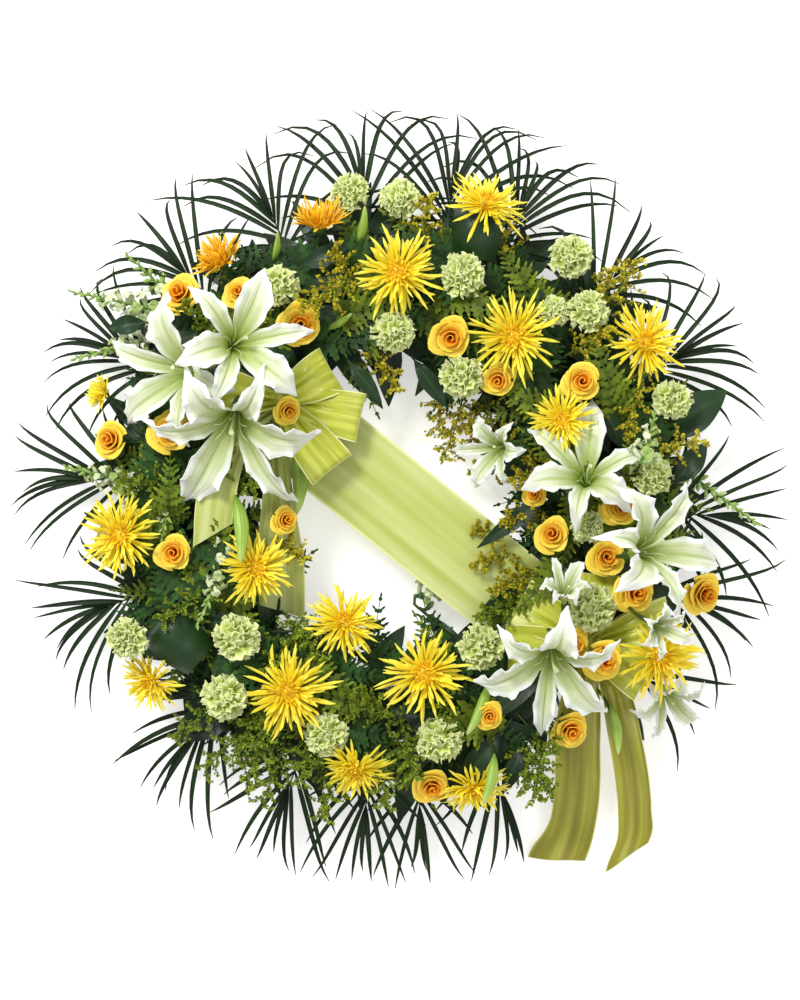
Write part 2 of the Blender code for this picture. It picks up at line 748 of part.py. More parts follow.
def lily_head(radius):
    """A funnel whose rim opens into six pointed tepals, each folded along its midrib and turned down."""
    bm = bmesh.new()
    r = radius
    thick = 0.0014
    count = 12

    def circle(reach, height):
        angles = [math.tau * i / count for i in range(count)]
        return [bm.verts.new((reach * math.cos(a), reach * math.sin(a), height)) for a in angles]

    neck = circle(0.055 * r, -0.62 * r)
    outside = circle(0.24 * r, -0.14 * r)
    inside = circle(0.24 * r - thick, -0.14 * r + thick)
    skin(bm, neck, outside)
    fan(bm, list(reversed(inside)), bm.verts.new((0, 0, -0.45 * r)))
    for k in range(6):
        mid = 2 * k
        around = (mid - 1, mid, (mid + 1) % count)
        angle = math.tau * mid / count
        out = Vector((math.cos(angle), math.sin(angle), 0.0))
        across = Vector((-out.y, out.x, 0.0))
        broad = 1.0 if k % 2 else 0.78
        last = [outside[i] for i in around] + [inside[i] for i in reversed(around)]
        for share, fold in ((0.50, 0.04), (0.78, 0.025)) if k % 2 else ((0.56, 0.04),):
            height, half = tepal_line(share)
            centre = out * share * r + UP * height * r
            side = across * half * broad * r
            lower = [centre - side, centre - UP * fold * r, centre + side]
            upper = [p + UP * thick for p in lower]
            made = [bm.verts.new(p) for p in lower + list(reversed(upper))]
            skin(bm, last, made)
            last = made
        fan(bm, last, bm.verts.new(out * r - UP * 0.05 * r))
    return bm, [neck]


def bud_body(length):
    """A long closed bud, three-ribbed, widest below its middle."""
    return dome((
        (0, -0.5 * length), (0.075 * length, -0.32 * length, 0.06), (0.105 * length, -0.05 * length, 0.10),
        (0.07 * length, 0.30 * length, 0.08), (0, 0.5 * length),
    ), 6)


def spike_body(length, size, seed, levels):
    """A stalk set round with small pointed florets, smaller towards its tip."""
    bm = bmesh.new()
    draw = random.Random(seed)
    sides = 4
    rings = []
    for k in range(levels + 1):
        z = length * (k / levels - 0.5)
        r = 0.0034 * (1 - 0.5 * k / levels)
        angles = [math.tau * (i + 0.5) / sides for i in range(sides)]
        rings.append([bm.verts.new((r * math.cos(a), r * math.sin(a), z)) for a in angles])
    fan(bm, rings[-1], bm.verts.new((0, 0, length * 0.5 + 0.004)))
    for k in range(levels):
        reach = size * (1 - 0.5 * k / levels)
        for i in range(sides):
            j = (i + 1) % sides
            corners = [rings[k][i], rings[k][j], rings[k + 1][j], rings[k + 1][i]]
            middle = sum((c.co for c in corners), Vector()) / 4
            out = Vector((middle.x, middle.y, 0)).normalized()
            fan(bm, corners, bm.verts.new(middle + (out * draw.uniform(0.75, 1.0) + UP * 0.5) * reach))
    return bm, rings


def bloom_group(name, kind, heads):
    """Seats for all the heads of one group, on stems that branch from one root."""
    middle = sum((plan(h[0], h[1]) for h in heads), Vector()) / len(heads)
    root = place_root(middle, f"{name}/stems")
    seats = []
    for number, head in enumerate(heads):
        radius = head[2] * MM
        shape, depth, start, rolls = {
            "carnation": (ball(radius), 0.58 * radius, -0.006, (0,)),
            "rose": (ball(radius), 0.48 * radius, -0.002, (0,)),
            "mum": (mum_shape(radius), 0.07 * radius, 0.004, (0,)),
            "lily": (lily_shape(radius), 0.62 * radius, 0.014, LILY_ROLLS),
        }[kind]
        seats.append((head, settle(name, number, head, shape, depth, root, start, rolls)))
    return name, kind, root, seats


def stalk_seat(name, number, stalk, lean, thick, start, root, foot=0.5):
    x, y, length, way = stalk
    length *= MM
    head = (x, y, 0, (way[0] / lean, way[1] / lean))
    seat = settle(name, number, head, rod_shape(length, thick), length * foot, root, start)
    return (x, y, length), seat


def stalk_group(name, kind, stalks):
    """Seats for buds or flower spikes: stalks from one root."""
    middle = sum((plan(s[0], s[1]) for s in stalks), Vector()) / len(stalks)
    root = place_root(middle, f"{name}/stems")
    thick = 0.009 if kind == "bud" else 0.010
    foot = 0.32 if kind == "bud" else 0.5
    seats = [stalk_seat(name, i, stalk, 0.35, thick, -0.020, root, foot) for i, stalk in enumerate(stalks)]
    return name, kind, root, seats


def goldenrod_seats(groups):
    """Seats for the goldenrod, which shares the mums' roots."""
    found = {}
    for number, (group, *stalk) in enumerate(GOLDENROD):
        root = next(g[2] for g in groups if g[0] == group)
        seat = stalk_seat(group, 20 + number, stalk, 0.5, 0.009, -0.025, root)
        found.setdefault(group, []).append(seat)
    return found


def make_head(kind, size, frame, name, number):
    """A head in its own frame, as (bmesh, its rings from the open lower one up)."""
    if kind == "carnation":
        return carnation_head(size * MM)
    if kind == "rose":
        return rose_head(size * MM)
    if kind == "mum":
        return mum_head(size * MM, frame, f"{name}/{number}", f"{name}/stems")
    if kind == "lily":
        return lily_head(size * MM)
    if kind == "bud":
        return bud_body(size)
    if kind == "spike":
        return spike_body(size, 0.0095, number, 3)
    return spike_body(size, 0.0085, 50 + number, 3)


def build_group(group, sprigs):
    """One node: every head on its stem. The first stem runs on down into its hole, and the others meet it."""
    name, kind, root, seats = group
    foot = Vector((root.x, root.y, HOLE_FLOOR + GAP))
    kinds = [kind] * len(seats) + ["goldenrod"] * len(sprigs)
    pieces = []
    for number, (each, (head, (frame, path))) in enumerate(zip(kinds, seats + sprigs)):
        body, rings = make_head(each, head[2], frame, name, number)
        body.transform(frame)
        add_stem(body, rings[0], path[:-1] + [path[-1] - UP * 0.003] if pieces else path + [foot])
        pieces.append(body)
    union(name, pieces, kind)


def sash_line():
    """The sash's centre line: flat on the foam at both ends, and nearly level over the hole."""
    along = Vector((math.cos(SASH_BEARING), math.sin(SASH_BEARING), 0.0))
    across = Vector((-along.y, along.x, 0.0))
    seat = FOAM_TOP + GAP + RIBBON_T / 2
    points = []
    for share in (-1.0, -0.95, -0.86, -0.74, -0.5, -0.17, 0.17, 0.5, 0.74, 0.86, 0.95, 1.0):
        climb = min(1.0, max(0.0, (0.95 - abs(share)) / 0.21))
        climb = climb * climb * (3 - 2 * climb)
        sag = SASH_SAG * max(0.0, 1 - (share / 0.74) ** 2)
        height = seat + (SASH_TOP - seat) * climb - sag
        points.append(along * SASH_HALF * share + across * SASH_OFFSET + UP * height)
    return points, across


def take_strip(points, widths, side, name):
    """Marks the room that a band takes up."""
    for (a, wide_a), (b, wide_b) in zip(zip(points, widths), zip(points[1:], widths[1:])):
        steps = max(1, math.ceil((b - a).length / 0.008))
        for step in range(steps + 1):
            centre = a.lerp(b, step / steps)
            width = wide_a + (wide_b - wide_a) * step / steps
            count = max(1, math.ceil(width / 0.008))
            space.take([centre + side * width * (k / count - 0.5) for k in range(count + 1)], 0.0042, name)


def loop_line(knot, bearing, length, lift):
    """One loop of a bow: out along its lower arm, round, and back over it."""
    out = Vector((math.cos(math.radians(bearing)), math.sin(math.radians(bearing)), 0.0))
    shape = ((-0.02, 0.1), (0.36, -0.18), (0.84, -0.02), (1.0, 0.48), (0.80, 0.98), (-0.02, 0.5))
    points = [knot + out * length * MM * a + UP * lift * MM * b for a, b in shape]
    widths = [LOOP_WIDTH * s for s in (0.25, 0.76, 1.0, 1.0, 1.0, 0.25)]
    return points, widths, Vector((-out.y, out.x, 0.0))


def tail_line(line, width):
    points = [plan(x, y, z * MM) for x, y, z in line]
    widths = [width * 0.35, width * 0.8] + [width] * (len(points) - 2)
    return points, widths, Vector((1.0, 0.0, 0.0))


def make_bow(name, knot, loops, tails, root):
    """A bow on its pick: loops, and tails whose top ends are tied in under the knot."""
    core, _ = dome(((0, -0.013), (0.015, 0), (0, 0.013)), 5, closed=True)
    core.transform(Matrix.Translation(knot))
    pieces = [core]
    space.take([knot], 0.014, name)
    for number, (bearing, length, lift) in enumerate(loops):
        points, widths, side = loop_line(knot + UP * 0.0024 * (number - 2), bearing, length, lift)
        take_strip(points, widths, side, name)
        pieces.append(strip(points, widths, RIBBON_T, side=side))
    for line, width, skew in tails:
        points, widths, side = tail_line(line, width)
        take_strip(points, widths, side, name)
        tail = strip(points, widths, RIBBON_T, side=side)
        for vertex in tail.verts:
            if vertex.co.y < points[-1].y + 0.006:
                vertex.co.y += (vertex.co.x - points[-1].x) * skew
        pieces.append(tail)
    pick = [knot, Vector((root.x, root.y, FORK_Z)), Vector((root.x, root.y, HOLE_FLOOR + GAP))]
    space.take(dense(pick[:2]), 0.003, name)
    pieces.append(rod(pick, STEM_R))
    union(name, pieces, "ribbon")


def leaflet(bm, corners, start, way, across, length, half, droop, name, stems, bent):
    """One narrow blade from a face of a leaf's stalk. It is turned or shortened to stay free, or left out."""
    for share, lift in ((1, 0), (1, -0.22), (1, 0.22), (0.82, 0.0), (0.82, -0.3), (0.66, 0.1), (0.5, 0.3)):
        turned = (way + UP * lift).normalized()
        run = length * share
        tip = start + turned * run - UP * droop * run
        knee = start + turned * run * 0.5 if bent else start.lerp(tip, 0.5)
        line = dense([start.lerp(knee, 0.2), knee, knee.lerp(tip, 0.9)])
        base = (corners[0].co - corners[3].co).length / 2
        narrowing = 1 - np.linspace(0.1, 1.0, len(line)) * (2 if bent else 1)
        room = np.maximum(half if bent else 0.0012, base * narrowing) + 0.0004
        if space.free(line, room, (name, stems)):
            over = across.cross(turned).normalized()
            level = turned.cross(over).normalized()
            if bent:
                grow(bm, corners, knee, level * half, over * 0.0009, tip)
            else:
                fan(bm, corners, bm.verts.new(tip))
            space.take(line, room, name)
            return True
    return False


def frond(line, half, rows, name, stems):
    """A feather leaf: a four-sided stalk along line, with a blade from each side of each stretch.

    rows holds each stretch's (spread in degrees, length, half width, droop, bent), or None where it is bare.
    """
    bm = bmesh.new()
    frames = frames_along(line, steady_side([(line[-1] - line[0]).normalized()]))
    rings = []
    for point, _, across, over in frames:
        corners = ((-1, -1), (1, -1), (1, 1), (-1, 1))
        rings.append([bm.verts.new(point + (across * sx + over * sz) * half) for sx, sz in corners])
    cap(bm, rings[0])
    for k, row in enumerate(rows):
        a, b = rings[k], rings[k + 1]
        for side, i, j in ((1, 1, 2), (-1, 3, 0)):
            corners = [a[i], a[j], b[j], b[i]]
            grown = False
            if row:
                spread, length, wide, droop, bent = row
                _, along, across, _ = frames[k]
                angle = math.radians(spread)
                way = along * math.cos(angle) + across * side * math.sin(angle)
                level = across * math.cos(angle) - along * side * math.sin(angle)
                start = sum((c.co for c in corners), Vector()) / 4
                grown = leaflet(bm, corners, start, way, level, length, wide, droop, name, stems, bent)
            if not grown:
                cap(bm, corners)
        for i, j in ((0, 1), (2, 3)):
            cap(bm, [a[i], a[j], b[j], b[i]])
    fan(bm, rings[-1], bm.verts.new(line[-1] + (line[-1] - line[-2]).normalized() * 0.010))
    return bm


def palm_line(root, bearing):
    """The stalk of a palm frond, from its root out over the foam's edge."""
    out = Vector((math.cos(math.radians(bearing)), math.sin(math.radians(bearing)), 0.0))
    fork = Vector((root.x, root.y, FORK_Z))
    stations = ((0.312, 0.060), (0.332, 0.056), (0.350, 0.051), (0.367, 0.046), (0.384, 0.041))
    return [fork] + [out * r + UP * z for r, z in stations]


def fern_line(root, bearing, outer):
    """The stalk of a fern frond, out over the foam's outer edge or in over its inner one."""
    out = Vector((math.cos(math.radians(bearing)), math.sin(math.radians(bearing)), 0.0))
    fork = Vector((root.x, root.y, FORK_Z))
    stations = ((0.318, 0.078), (0.338, 0.082), (0.356, 0.082), (0.372, 0.078), (0.386, 0.072))
    if not outer:
        stations = ((0.206, 0.060), (0.186, 0.058), (0.166, 0.056), (0.148, 0.054), (0.132, 0.052))
    return [fork] + [out * r + UP * z for r, z in stations]


def palm(line, name, stems):
    rows = [None]
    for k, spread in enumerate((60, 45, 30)):
        start = math.hypot(line[k + 1].x, line[k + 1].y)
        length = min(0.125, (FROND_REACH - start) / max(0.7, math.cos(math.radians(spread))))
        rows.append((spread, length, 0.0028, 0.18, k > 1))
    rows.append((13, FROND_REACH - 0.382, 0.0026, 0.14, True))
    return frond(line, 0.0017, rows, name, stems)


def fern(line, name, stems):
    rows = [None] + [(64 - 4 * k, 0.044 - 0.008 * k, 0.0040, 0.06, False) for k in range(4)]
    return frond(line, 0.0015, rows, name, stems)


def broad_leaf(root, entry, name, stems):
    """A broad leaf on its stalk, laid flat or rolled back on itself."""
    _, x, y, length, width, way, rolled = entry
    out = Vector((way[0], way[1], 0.0)).normalized()
    side = Vector((-out.y, out.x, 0.0))
    length *= MM
    width *= MM
    fork = Vector((root.x, root.y, FORK_Z))
    shape = ((-0.5, -0.06), (-0.2, 0.02), (0.15, 0.05), (0.4, 0.0), (0.54, -0.06))
    widths = [width * s for s in (0.12, 0.9, 1.0, 0.55, 0.12)]
    if rolled:
        shape = ((-0.36, -0.06), (0.10, -0.16), (0.44, 0.02), (0.40, 0.36), (0.0, 0.46), (-0.34, 0.30))
        widths = [width * s for s in (0.12, 0.9, 1.0, 1.0, 1.0, 0.8)]
    for lift in range(36):
        centre = plan(x, y, 0.076 + 0.004 * lift)
        points = [centre + out * length * a + UP * length * b for a, b in shape]
        spots = []
        for (a, wide_a), (b, wide_b) in zip(zip(points, widths), zip(points[1:], widths[1:])):
            steps = math.ceil((b - a).length / 0.007)
            for step in range(steps + 1):
                wide = wide_a + (wide_b - wide_a) * step / steps
                spots += [a.lerp(b, step / steps) + side * wide * (k / 8 - 0.5) for k in range(9)]
        if not space.free(spots, 0.0040, (name, stems)):
            continue
        base = points[0].lerp(points[1], 0.25)
        path = find_stem(base, ((points[1] - points[0]).normalized() + UP).normalized(), root, (name, stems))
        if path:
            space.take(spots, 0.0042, name)
            space.take(dense(path), STEM_R + 0.0004, stems)
            return path, strip(points, widths, 0.0014, side=side)
    raise RuntimeError(f"no free place for {name}")


def clump_plan(name, bearings, outer):
    """Roots a clump of leaves and marks its stalks, before anything else is seated."""
    palms, ferns = bearings
    spread = palms or ferns
    ways = [Vector((math.cos(math.radians(b)), math.sin(math.radians(b)), 0.0)) for b in spread]
    middle = sum(ways, Vector())
    root = place_root(middle.normalized() * (0.36 if outer else 0.15), f"{name}/stems")
    lines = [("palm", palm_line(root, b)) for b in palms]
    lines += [("fern", fern_line(root, b, outer)) for b in ferns]
    for _, line in lines:
        space.take(dense(line), 0.0030, f"{name}/stems")
    return name, root, lines


def build_clump(clump, leaves):
    name, root, lines = clump
    stems = f"{name}/stems"
    foot = [Vector((root.x, root.y, FORK_Z + 0.0025)), Vector((root.x, root.y, HOLE_FLOOR + GAP))]
    pieces = [rod(foot, STEM_R)]
    for number, (kind, line) in enumerate(lines):
        make = palm if kind == "palm" else fern
        pieces.append(make(line, f"{name}/{number}", stems))
    for path, blade in leaves:
        pieces += [rod(path, STEM_R), blade]
    union(name, pieces, "green")


def main():
    for leftover in list(bpy.data.objects):
        bpy.data.objects.remove(leftover)

    make_tray()
    line, side = sash_line()
    take_strip(line, [SASH_WIDTH] * len(line), side, "sash")
    add_object("sash", strip(line, [SASH_WIDTH] * len(line), RIBBON_T, side=side), "ribbon")
    upper_root = place_root(UPPER_KNOT * 1.6, "bow_upper")
    lower_root = place_root(LOWER_KNOT, "bow_lower")
    streamer = (STREAMER, TAIL_WIDTH, -0.4)
    tails = ((TAIL_LEFT, TAIL_WIDTH, 0.0), (TAIL_RIGHT, TAIL_WIDTH * 0.8, 0.9))
    make_bow("bow_upper", UPPER_KNOT, UPPER_LOOPS, (streamer,), upper_root)
    make_bow("bow_lower", LOWER_KNOT, LOWER_LOOPS, tails, lower_root)

    clumps = [clump_plan(f"greenery_outer_{i + 1}", b, True) for i, b in enumerate(OUTER_CLUMPS)]
    clumps += [clump_plan(f"greenery_inner_{i + 1}", b, False) for i, b in enumerate(INNER_CLUMPS)]
    leaves = {}
    for number, leaf in enumerate(BROAD_LEAVES):
        name, root, _ = clumps[leaf[0]]
        leaves.setdefault(name, []).append(broad_leaf(root, leaf, f"{name}/leaf_{number}", f"{name}/stems"))
    groups = [bloom_group(name, "carnation", heads) for name, heads in CARNATIONS.items()]
    groups += [bloom_group(name, "rose", heads) for name, heads in ROSES.items()]
    groups += [bloom_group(name, "mum", heads) for name, heads in MUMS.items()]
    groups += [bloom_group(name, "lily", heads) for name, heads in LILIES.items()]
    groups += [stalk_group(name, "bud", stalks) for name, stalks in BUDS.items()]
    groups += [stalk_group(name, "spike", stalks) for name, stalks in SPIKES.items()]
    sprigs = goldenrod_seats(groups)
    for group in groups:
        build_group(group, sprigs.get(group[0], []))
    for clump in clumps:
        build_clump(clump, leaves.get(clump[0], []))
    make_foam()


main()
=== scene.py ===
"""Dresses the wreath's solids with petals, leaves and satin, on a plain floor under studio light.

Laid out as a Blender add-on. Metres, +Z up out of the flowers' face, +Y towards the wreath's top.
Plan positions in the tables are millimetres.
"""

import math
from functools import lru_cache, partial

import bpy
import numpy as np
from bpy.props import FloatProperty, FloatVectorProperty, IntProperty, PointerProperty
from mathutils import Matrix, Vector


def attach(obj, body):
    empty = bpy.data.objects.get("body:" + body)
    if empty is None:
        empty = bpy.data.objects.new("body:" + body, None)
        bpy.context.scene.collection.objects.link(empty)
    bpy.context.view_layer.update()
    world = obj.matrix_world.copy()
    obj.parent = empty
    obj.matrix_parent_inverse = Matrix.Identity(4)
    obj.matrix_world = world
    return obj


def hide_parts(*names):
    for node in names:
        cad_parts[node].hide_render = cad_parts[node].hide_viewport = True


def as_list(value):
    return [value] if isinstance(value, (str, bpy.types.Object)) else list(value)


bl_info = {
    "name": "Lily Wreath Dressing",
    "version": (1, 0, 0),
    "blender": (4, 5, 0),
    "location": "3D View > Sidebar > Wreath",
    "description": "Builds the blooms, greenery and ribbon of a round wreath over its solids",
    "category": "Object",
}

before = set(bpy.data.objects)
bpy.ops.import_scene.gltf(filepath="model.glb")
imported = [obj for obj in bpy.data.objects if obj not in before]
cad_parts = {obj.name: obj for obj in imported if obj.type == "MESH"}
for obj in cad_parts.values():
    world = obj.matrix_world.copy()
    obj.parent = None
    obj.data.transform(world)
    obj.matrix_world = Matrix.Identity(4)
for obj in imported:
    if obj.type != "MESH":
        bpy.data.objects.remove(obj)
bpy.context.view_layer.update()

MM = 0.001
# Up, as a vector and as a row of numbers
UP = Vector((0.0, 0.0, 1.0))
Z = np.array((0.0, 0.0, 1.0))
# The turn from each petal to the next, in radians, that never lines two of them up
GOLDEN_ANGLE = 2.39996
# Steps that spread numbers evenly between 0 and 1, however many there are
GOLDEN_STEP = 0.618034
TURN_STEP = 0.754877
REACH_STEP = 0.569840
# The share of the filler ferns that are light green
LIGHT_SHARE = 0.42
# Where each group's random draws start
SEEDS = {
    "lily": 100, "mum": 3000, "bud": 3030, "spike": 3050, "rose": 4000, "green": 4000, "carnation": 9000,
    "filler_ferns": 5000, "filler_leaves": 5100, "filler_goldenrod": 5200,
}

# The ring and its stems, as in the solids
FOAM_INNER_R = 0.220
FOAM_OUTER_R = 0.300
FOAM_TOP = 0.050
FOAM_CHAMFER = 0.008
TRAY_WALL = 0.002
TRAY_LIP = 0.016
GAP = 0.0003
RING_MID_R = (FOAM_INNER_R + FOAM_OUTER_R) / 2
STEM_R = 0.0019
LILY_STEM_R = 0.0024
STALK_STEM_R = 0.0020
LEAF_STEM_R = 0.0017
THIN_STEM_R = 0.0012
PICK_R = 0.0017
STEM_FOOT = 0.0363
STEM_END = 0.040
FORK_Z = 0.060
CORE_Z = 0.030
MOUND_A = 0.150
MOUND_B = 0.102
LEAN = 0.55
FROND_REACH = 0.470
LEAF_REACH = 0.487
# How close a point of a solid must lie to count as its head's pole, its tepal's tip or its stem's foot
POLE_MATCH = 0.0004
TIP_MATCH = 0.0008
FOOT_MATCH = 0.0005
# How far from the middle filler stalks and goldenrod stand in the foam
STALK_RANGE = (0.230, 0.290)
ROD_RANGE = (0.232, 0.288)
# Leaves round the rim: how many, the degrees between them, and how far out they reach
RIM_LEAVES = 49
RIM_STEP = 7.3
RIM_RANGE = (0.365, 0.405)

# The ribbons, as in the solids
RIBBON_T = 0.0006
SASH_WIDTH = 0.113
SASH_BEARING = math.radians(141.2)
SASH_OFFSET = 0.006
SASH_HALF = 0.243
SASH_TOP = 0.074
SASH_SAG = 0.005
LOOP_WIDTH = 0.058
TAIL_WIDTH = 0.062

# How thick a petal, a leaf or a ribbon of each paint is
THICKNESS = {
    "lily_petal": 0.0011, "rose_petal": 0.0009, "carnation_petal": 0.0008, "spike_floret": 0.0006,
    "stem": 0.0006, "palm_leaf": 0.0004, "fern_leaf": 0.0004, "light_fern": 0.0004, "broad_leaf": 0.0005,
    "rolled_leaf": 0.0007, "sash_satin": RIBBON_T, "bow_satin": RIBBON_T, "tail_satin": RIBBON_T,
}

# The heads: (plan x, plan y, radius), with the plan part of the way each faces where it isn't outward
CARNATIONS = {
    "carnations_north": ((78, 270, 25), (-6, 203, 23), (78, 150, 25)),
    "carnations_north_west": ((2, 367, 22), (-59, 377, 21), (-144, 258, 22)),
    "carnations_north_east": ((210, 295, 24), (230, 228, 23), (189, 228, 17)),
    "carnations_east": ((334, 121, 22), (307, 29, 23)),
    "carnations_south_east": ((232, -131, 26), (229, -34, 18)),
    "carnations_south": ((100, -179, 25), (49, -292, 25)),
    "carnations_south_west": ((-195, -168, 26), (-327, -168, 22)),
    "carnations_south_south_west": ((-210, -240, 25), (-87, -285, 23)),
}
ROSES = {
    "roses_north_west": ((-266, 251, 25), (-193, 250, 19)),
    "roses_north": ((-118, 212, 26), (-132, 106, 17)),
    "roses_west": ((-276, 82, 26), (-351, 72, 22)),
    "roses_west_south_west": ((-272, -65, 22), (-137, -26, 17)),
    "roses_north_east": ((63, 196, 25), (122, 145, 20), (223, 142, 23)),
    "roses_east": ((268, -9, 23), (253, -70, 23), (187, -44, 22), (166, 7, 16)),
    "roses_east_south_east": ((287, -112, 25), (377, -117, 25)),
    "roses_south_east": ((213, -175, 20), (248, -194, 24), (211, -283, 22)),
    "roses_south": ((41, -351, 22), (111, -262, 17)),
}
MUMS = {
    "mums_north_west": ((-95, 331, 42, (0.0, 0.8)), (-215, 288, 40)),
    "mums_north": ((0, 273, 56), (106, 356, 54)),
    "mums_north_east": ((140, 196, 58), (198, 96, 42)),
    "mums_east": ((301, 190, 54),),
    "mums_west": ((-337, -44, 56), (-360, 129, 26)),
    "mums_south_west": ((-172, -84, 50), (-65, -150, 50)),
    "mums_south_south_west": ((-303, -223, 42), (-132, -233, 58)),
    "mums_south": ((33, -211, 58), (-51, -329, 44), (93, -353, 44)),
    "mums_south_east": ((316, -190, 56),),
}
# Mums that open up like a cup, by their plan place
CUPPED = {(-95, 331), (-215, 288), (-360, 129)}
# Mums that lean further out than their solids, in degrees, by their plan place
MUM_TILT = {
    (-95, 331): 26, (-215, 288): 24, (-360, 129): 24, (106, 356): 24, (93, -353): 24, (-51, -329): 22,
    (-303, -223): 14,
}
LILIES = {
    "lilies_north_west": (
        (-262, 152, 78, (-0.75, -0.1)),
        (-198, 84, 88, (-0.1, -0.8)),
        (-189, 185, 84, (0.25, 0.1)),
    ),
    "lily_north_east": ((121, 61, 55, (-0.6, -0.2)),),
    "lilies_east": ((226, 30, 74, (-0.1, 0.45)), (300, -58, 84, (0.75, 0.25))),
    "lilies_south_east": ((198, -111, 52, (0.0, 0.8)), (305, -150, 48, (0.5, -0.3))),
    "lily_south_east": ((182, -196, 88, (-0.05, -0.8)),),
    "lily_south_east_low": ((329, -245, 56, (0.35, -0.9)),),
}
# How far the half open lilies are shut, by their plan place
SHUT = {(198, -111): 1.0, (305, -150): 0.8, (121, 61): 0.45, (329, -245): 0.3}
# How much further a lily's tepals reach than its solid's, by its plan place
LILY_REACH = {(-198, 84): 1.13, (-262, 152): 1.12, (300, -58): 1.04, (226, 30): 1.06}
# Stalks: (plan x, plan y, length, way it points in plan)
BUDS = {
    "buds_north": ((-71, 216, 40, (0.5, 0.3)), (-46, 331, 55, (0.2, 0.9)), (-150, 309, 40, (0.1, 0.5))),
    "buds_south": ((96, -255, 66, (-0.4, -0.9)), (109, -337, 62, (-0.25, -1.0))),
    "buds_west": ((-126, 30, 100, (0.05, -1.0)), (-193, -36, 84, (0.1, -1.0))),
}
# How far above its solid a bud shows, by its plan place, so that the ribbon doesn't hide it
BUD_LIFT = {(-126, 30): 0.028, (96, -255): 0.040}
# A bud between the tails: its place, the way it points in plan, its length, and its stem's bearing and reach
TAIL_BUD = ((264, -282, 96), (0.15, -1.0), 62, (-44, 0.284))
# How far down from a bud's middle its stem starts, as a share of its length
BUD_DEPTH = 0.32
SPIKES = {
    "spikes_north_west": (
        (-345, 188, 110, (-1.0, -0.3)),
        (-350, 244, 100, (-1.0, 0.2)),
        (-309, 276, 70, (-0.6, 0.6)),
    ),
    "spikes_west": ((-366, 29, 80, (-0.8, 0.2)), (-283, -10, 80, (-0.1, -1.0))),
    "spikes_south_west": ((-221, -99, 110, (-0.4, -1.0)),),
    "spikes_east": ((393, 5, 120, (0.8, -0.6)), (298, 72, 60, (0.2, 0.8))),
    "spike_south": ((60, -112, 80, (0.9, 0.2)),),
}
# How much of a spike is open, by its plan place
OPEN_SHARE = {(393, 5): 0.12, (-309, 276): 0.2, (-345, 188): 0.5}
# Goldenrod on the mums' stems: (solid, plan x, plan y, length, way it points in plan)
GOLDENROD = (
    ("mums_north", -83, 250, 70, (-0.6, -0.4)),
    ("mums_north_east", 70, 95, 75, (-0.3, -1.0)),
    ("mums_east", 290, 125, 80, (-0.3, -1.0)),
    ("mums_west", -211, 23, 70, (0.8, -0.2)),
    ("mums_south_west", -120, -165, 70, (0.5, -0.6)),
    ("mums_south_south_west", -172, -300, 80, (-0.2, -1.0)),
    ("mums_south", -20, -262, 70, (-0.7, 0.4)),
    ("mums_south", 149, -335, 75, (0.8, -0.5)),
)
# More goldenrod, low among the blooms: (plan x, plan y, length, bearing in degrees)
LOW_GOLDENROD = (
    (126, -72, 70, 190), (146, -96, 70, 205), (120, -44, 60, 165), (118, 92, 80, 215),
    (124, 40, 70, 190), (104, 118, 80, 235), (150, 60, 70, 150), (-205, -296, 100, 228),
    (-236, -262, 90, 215), (-150, -325, 100, 250), (-112, -300, 90, 262), (10, -300, 80, 285),
    (-22, 165, 80, 300), (52, 122, 80, 265), (125, 316, 80, 110), (247, 244, 80, 70),
    (173, 36, 80, 200), (-205, 35, 70, 170), (-132, -172, 90, 240), (-181, -270, 100, 250),
    (-83, -345, 90, 255), (52, -245, 70, 280), (150, -330, 90, 300), (271, 260, 80, 60),
    (-60, 270, 80, 120), (160, -20, 70, 190), (330, 60, 80, 20), (-250, -120, 90, 215),
    (-20, -330, 90, 275), (-300, 20, 80, 180), (30, 330, 80, 80), (-140, -60, 60, 330),
    (230, 190, 70, 30), (-235, 215, 70, 140), (130, -130, 70, 200), (172, -318, 80, 283),
    (186, -280, 60, 276),
)
# More places for filler, where the foliage closes up round the open middle
MIDDLE_SPOTS = (
    (114, 84), (108, 56), (120, 34), (124, 104), (96, 114), (72, 132), (128, -58), (146, -84),
    (134, -104), (146, 46), (150, 84), (140, 8), (118, 130), (92, 150), (150, -40), (142, -50),
)
# Plan places for dark leaves where the foliage meets the sash
BESIDE_SASH = ((138, -4), (152, -46), (146, -26), (160, -62))
# How far the open middle reaches, in millimetres, at bearings in degrees
HOLE_BEARINGS = (0, 45, 90, 135, 180, 225, 270, 315, 360)
HOLE_REACHES = (104, 112, 100, 122, 124, 160, 124, 142, 104)
# Lily leaves and others: (from x, y, to x, y, width, height of the leaf)
LANCE_LEAVES = (
    (182, 4, 97, -60, 21, 96), (-60, 306, -122, 284, 26, 104), (-118, 124, -92, 82, 22, 104),
    (126, -286, 68, -356, 30, 98), (152, -304, 128, -362, 22, 90), (262, -236, 304, -298, 26, 70),
    (-60, 168, -20, 118, 20, 92), (20, 170, 60, 112, 22, 90), (-210, -128, -250, -190, 24, 92),
    (150, 250, 196, 262, 26, 100), (340, 20, 380, 70, 30, 84), (-310, 216, -356, 210, 24, 88),
    (100, -150, 140, -110, 22, 92), (250, 112, 276, 60, 22, 100), (-160, 200, -120, 160, 22, 100),
)
# Where the bows are tied
UPPER_KNOT = Vector((-0.146, 0.120, 0.096))
LOWER_KNOT = Vector((0.236, -0.178, 0.088))
# A bow's loop is (bearing in degrees, length in millimetres, lift of its upper arm)
UPPER_LOOPS = ((-12, 104, 22), (-52, 108, 22), (30, 76, 22), (172, 78, 22))
LOWER_LOOPS = ((149, 104, 22), (183, 104, 22), (84, 88, 22), (17, 104, 22), (-32, 80, 22))
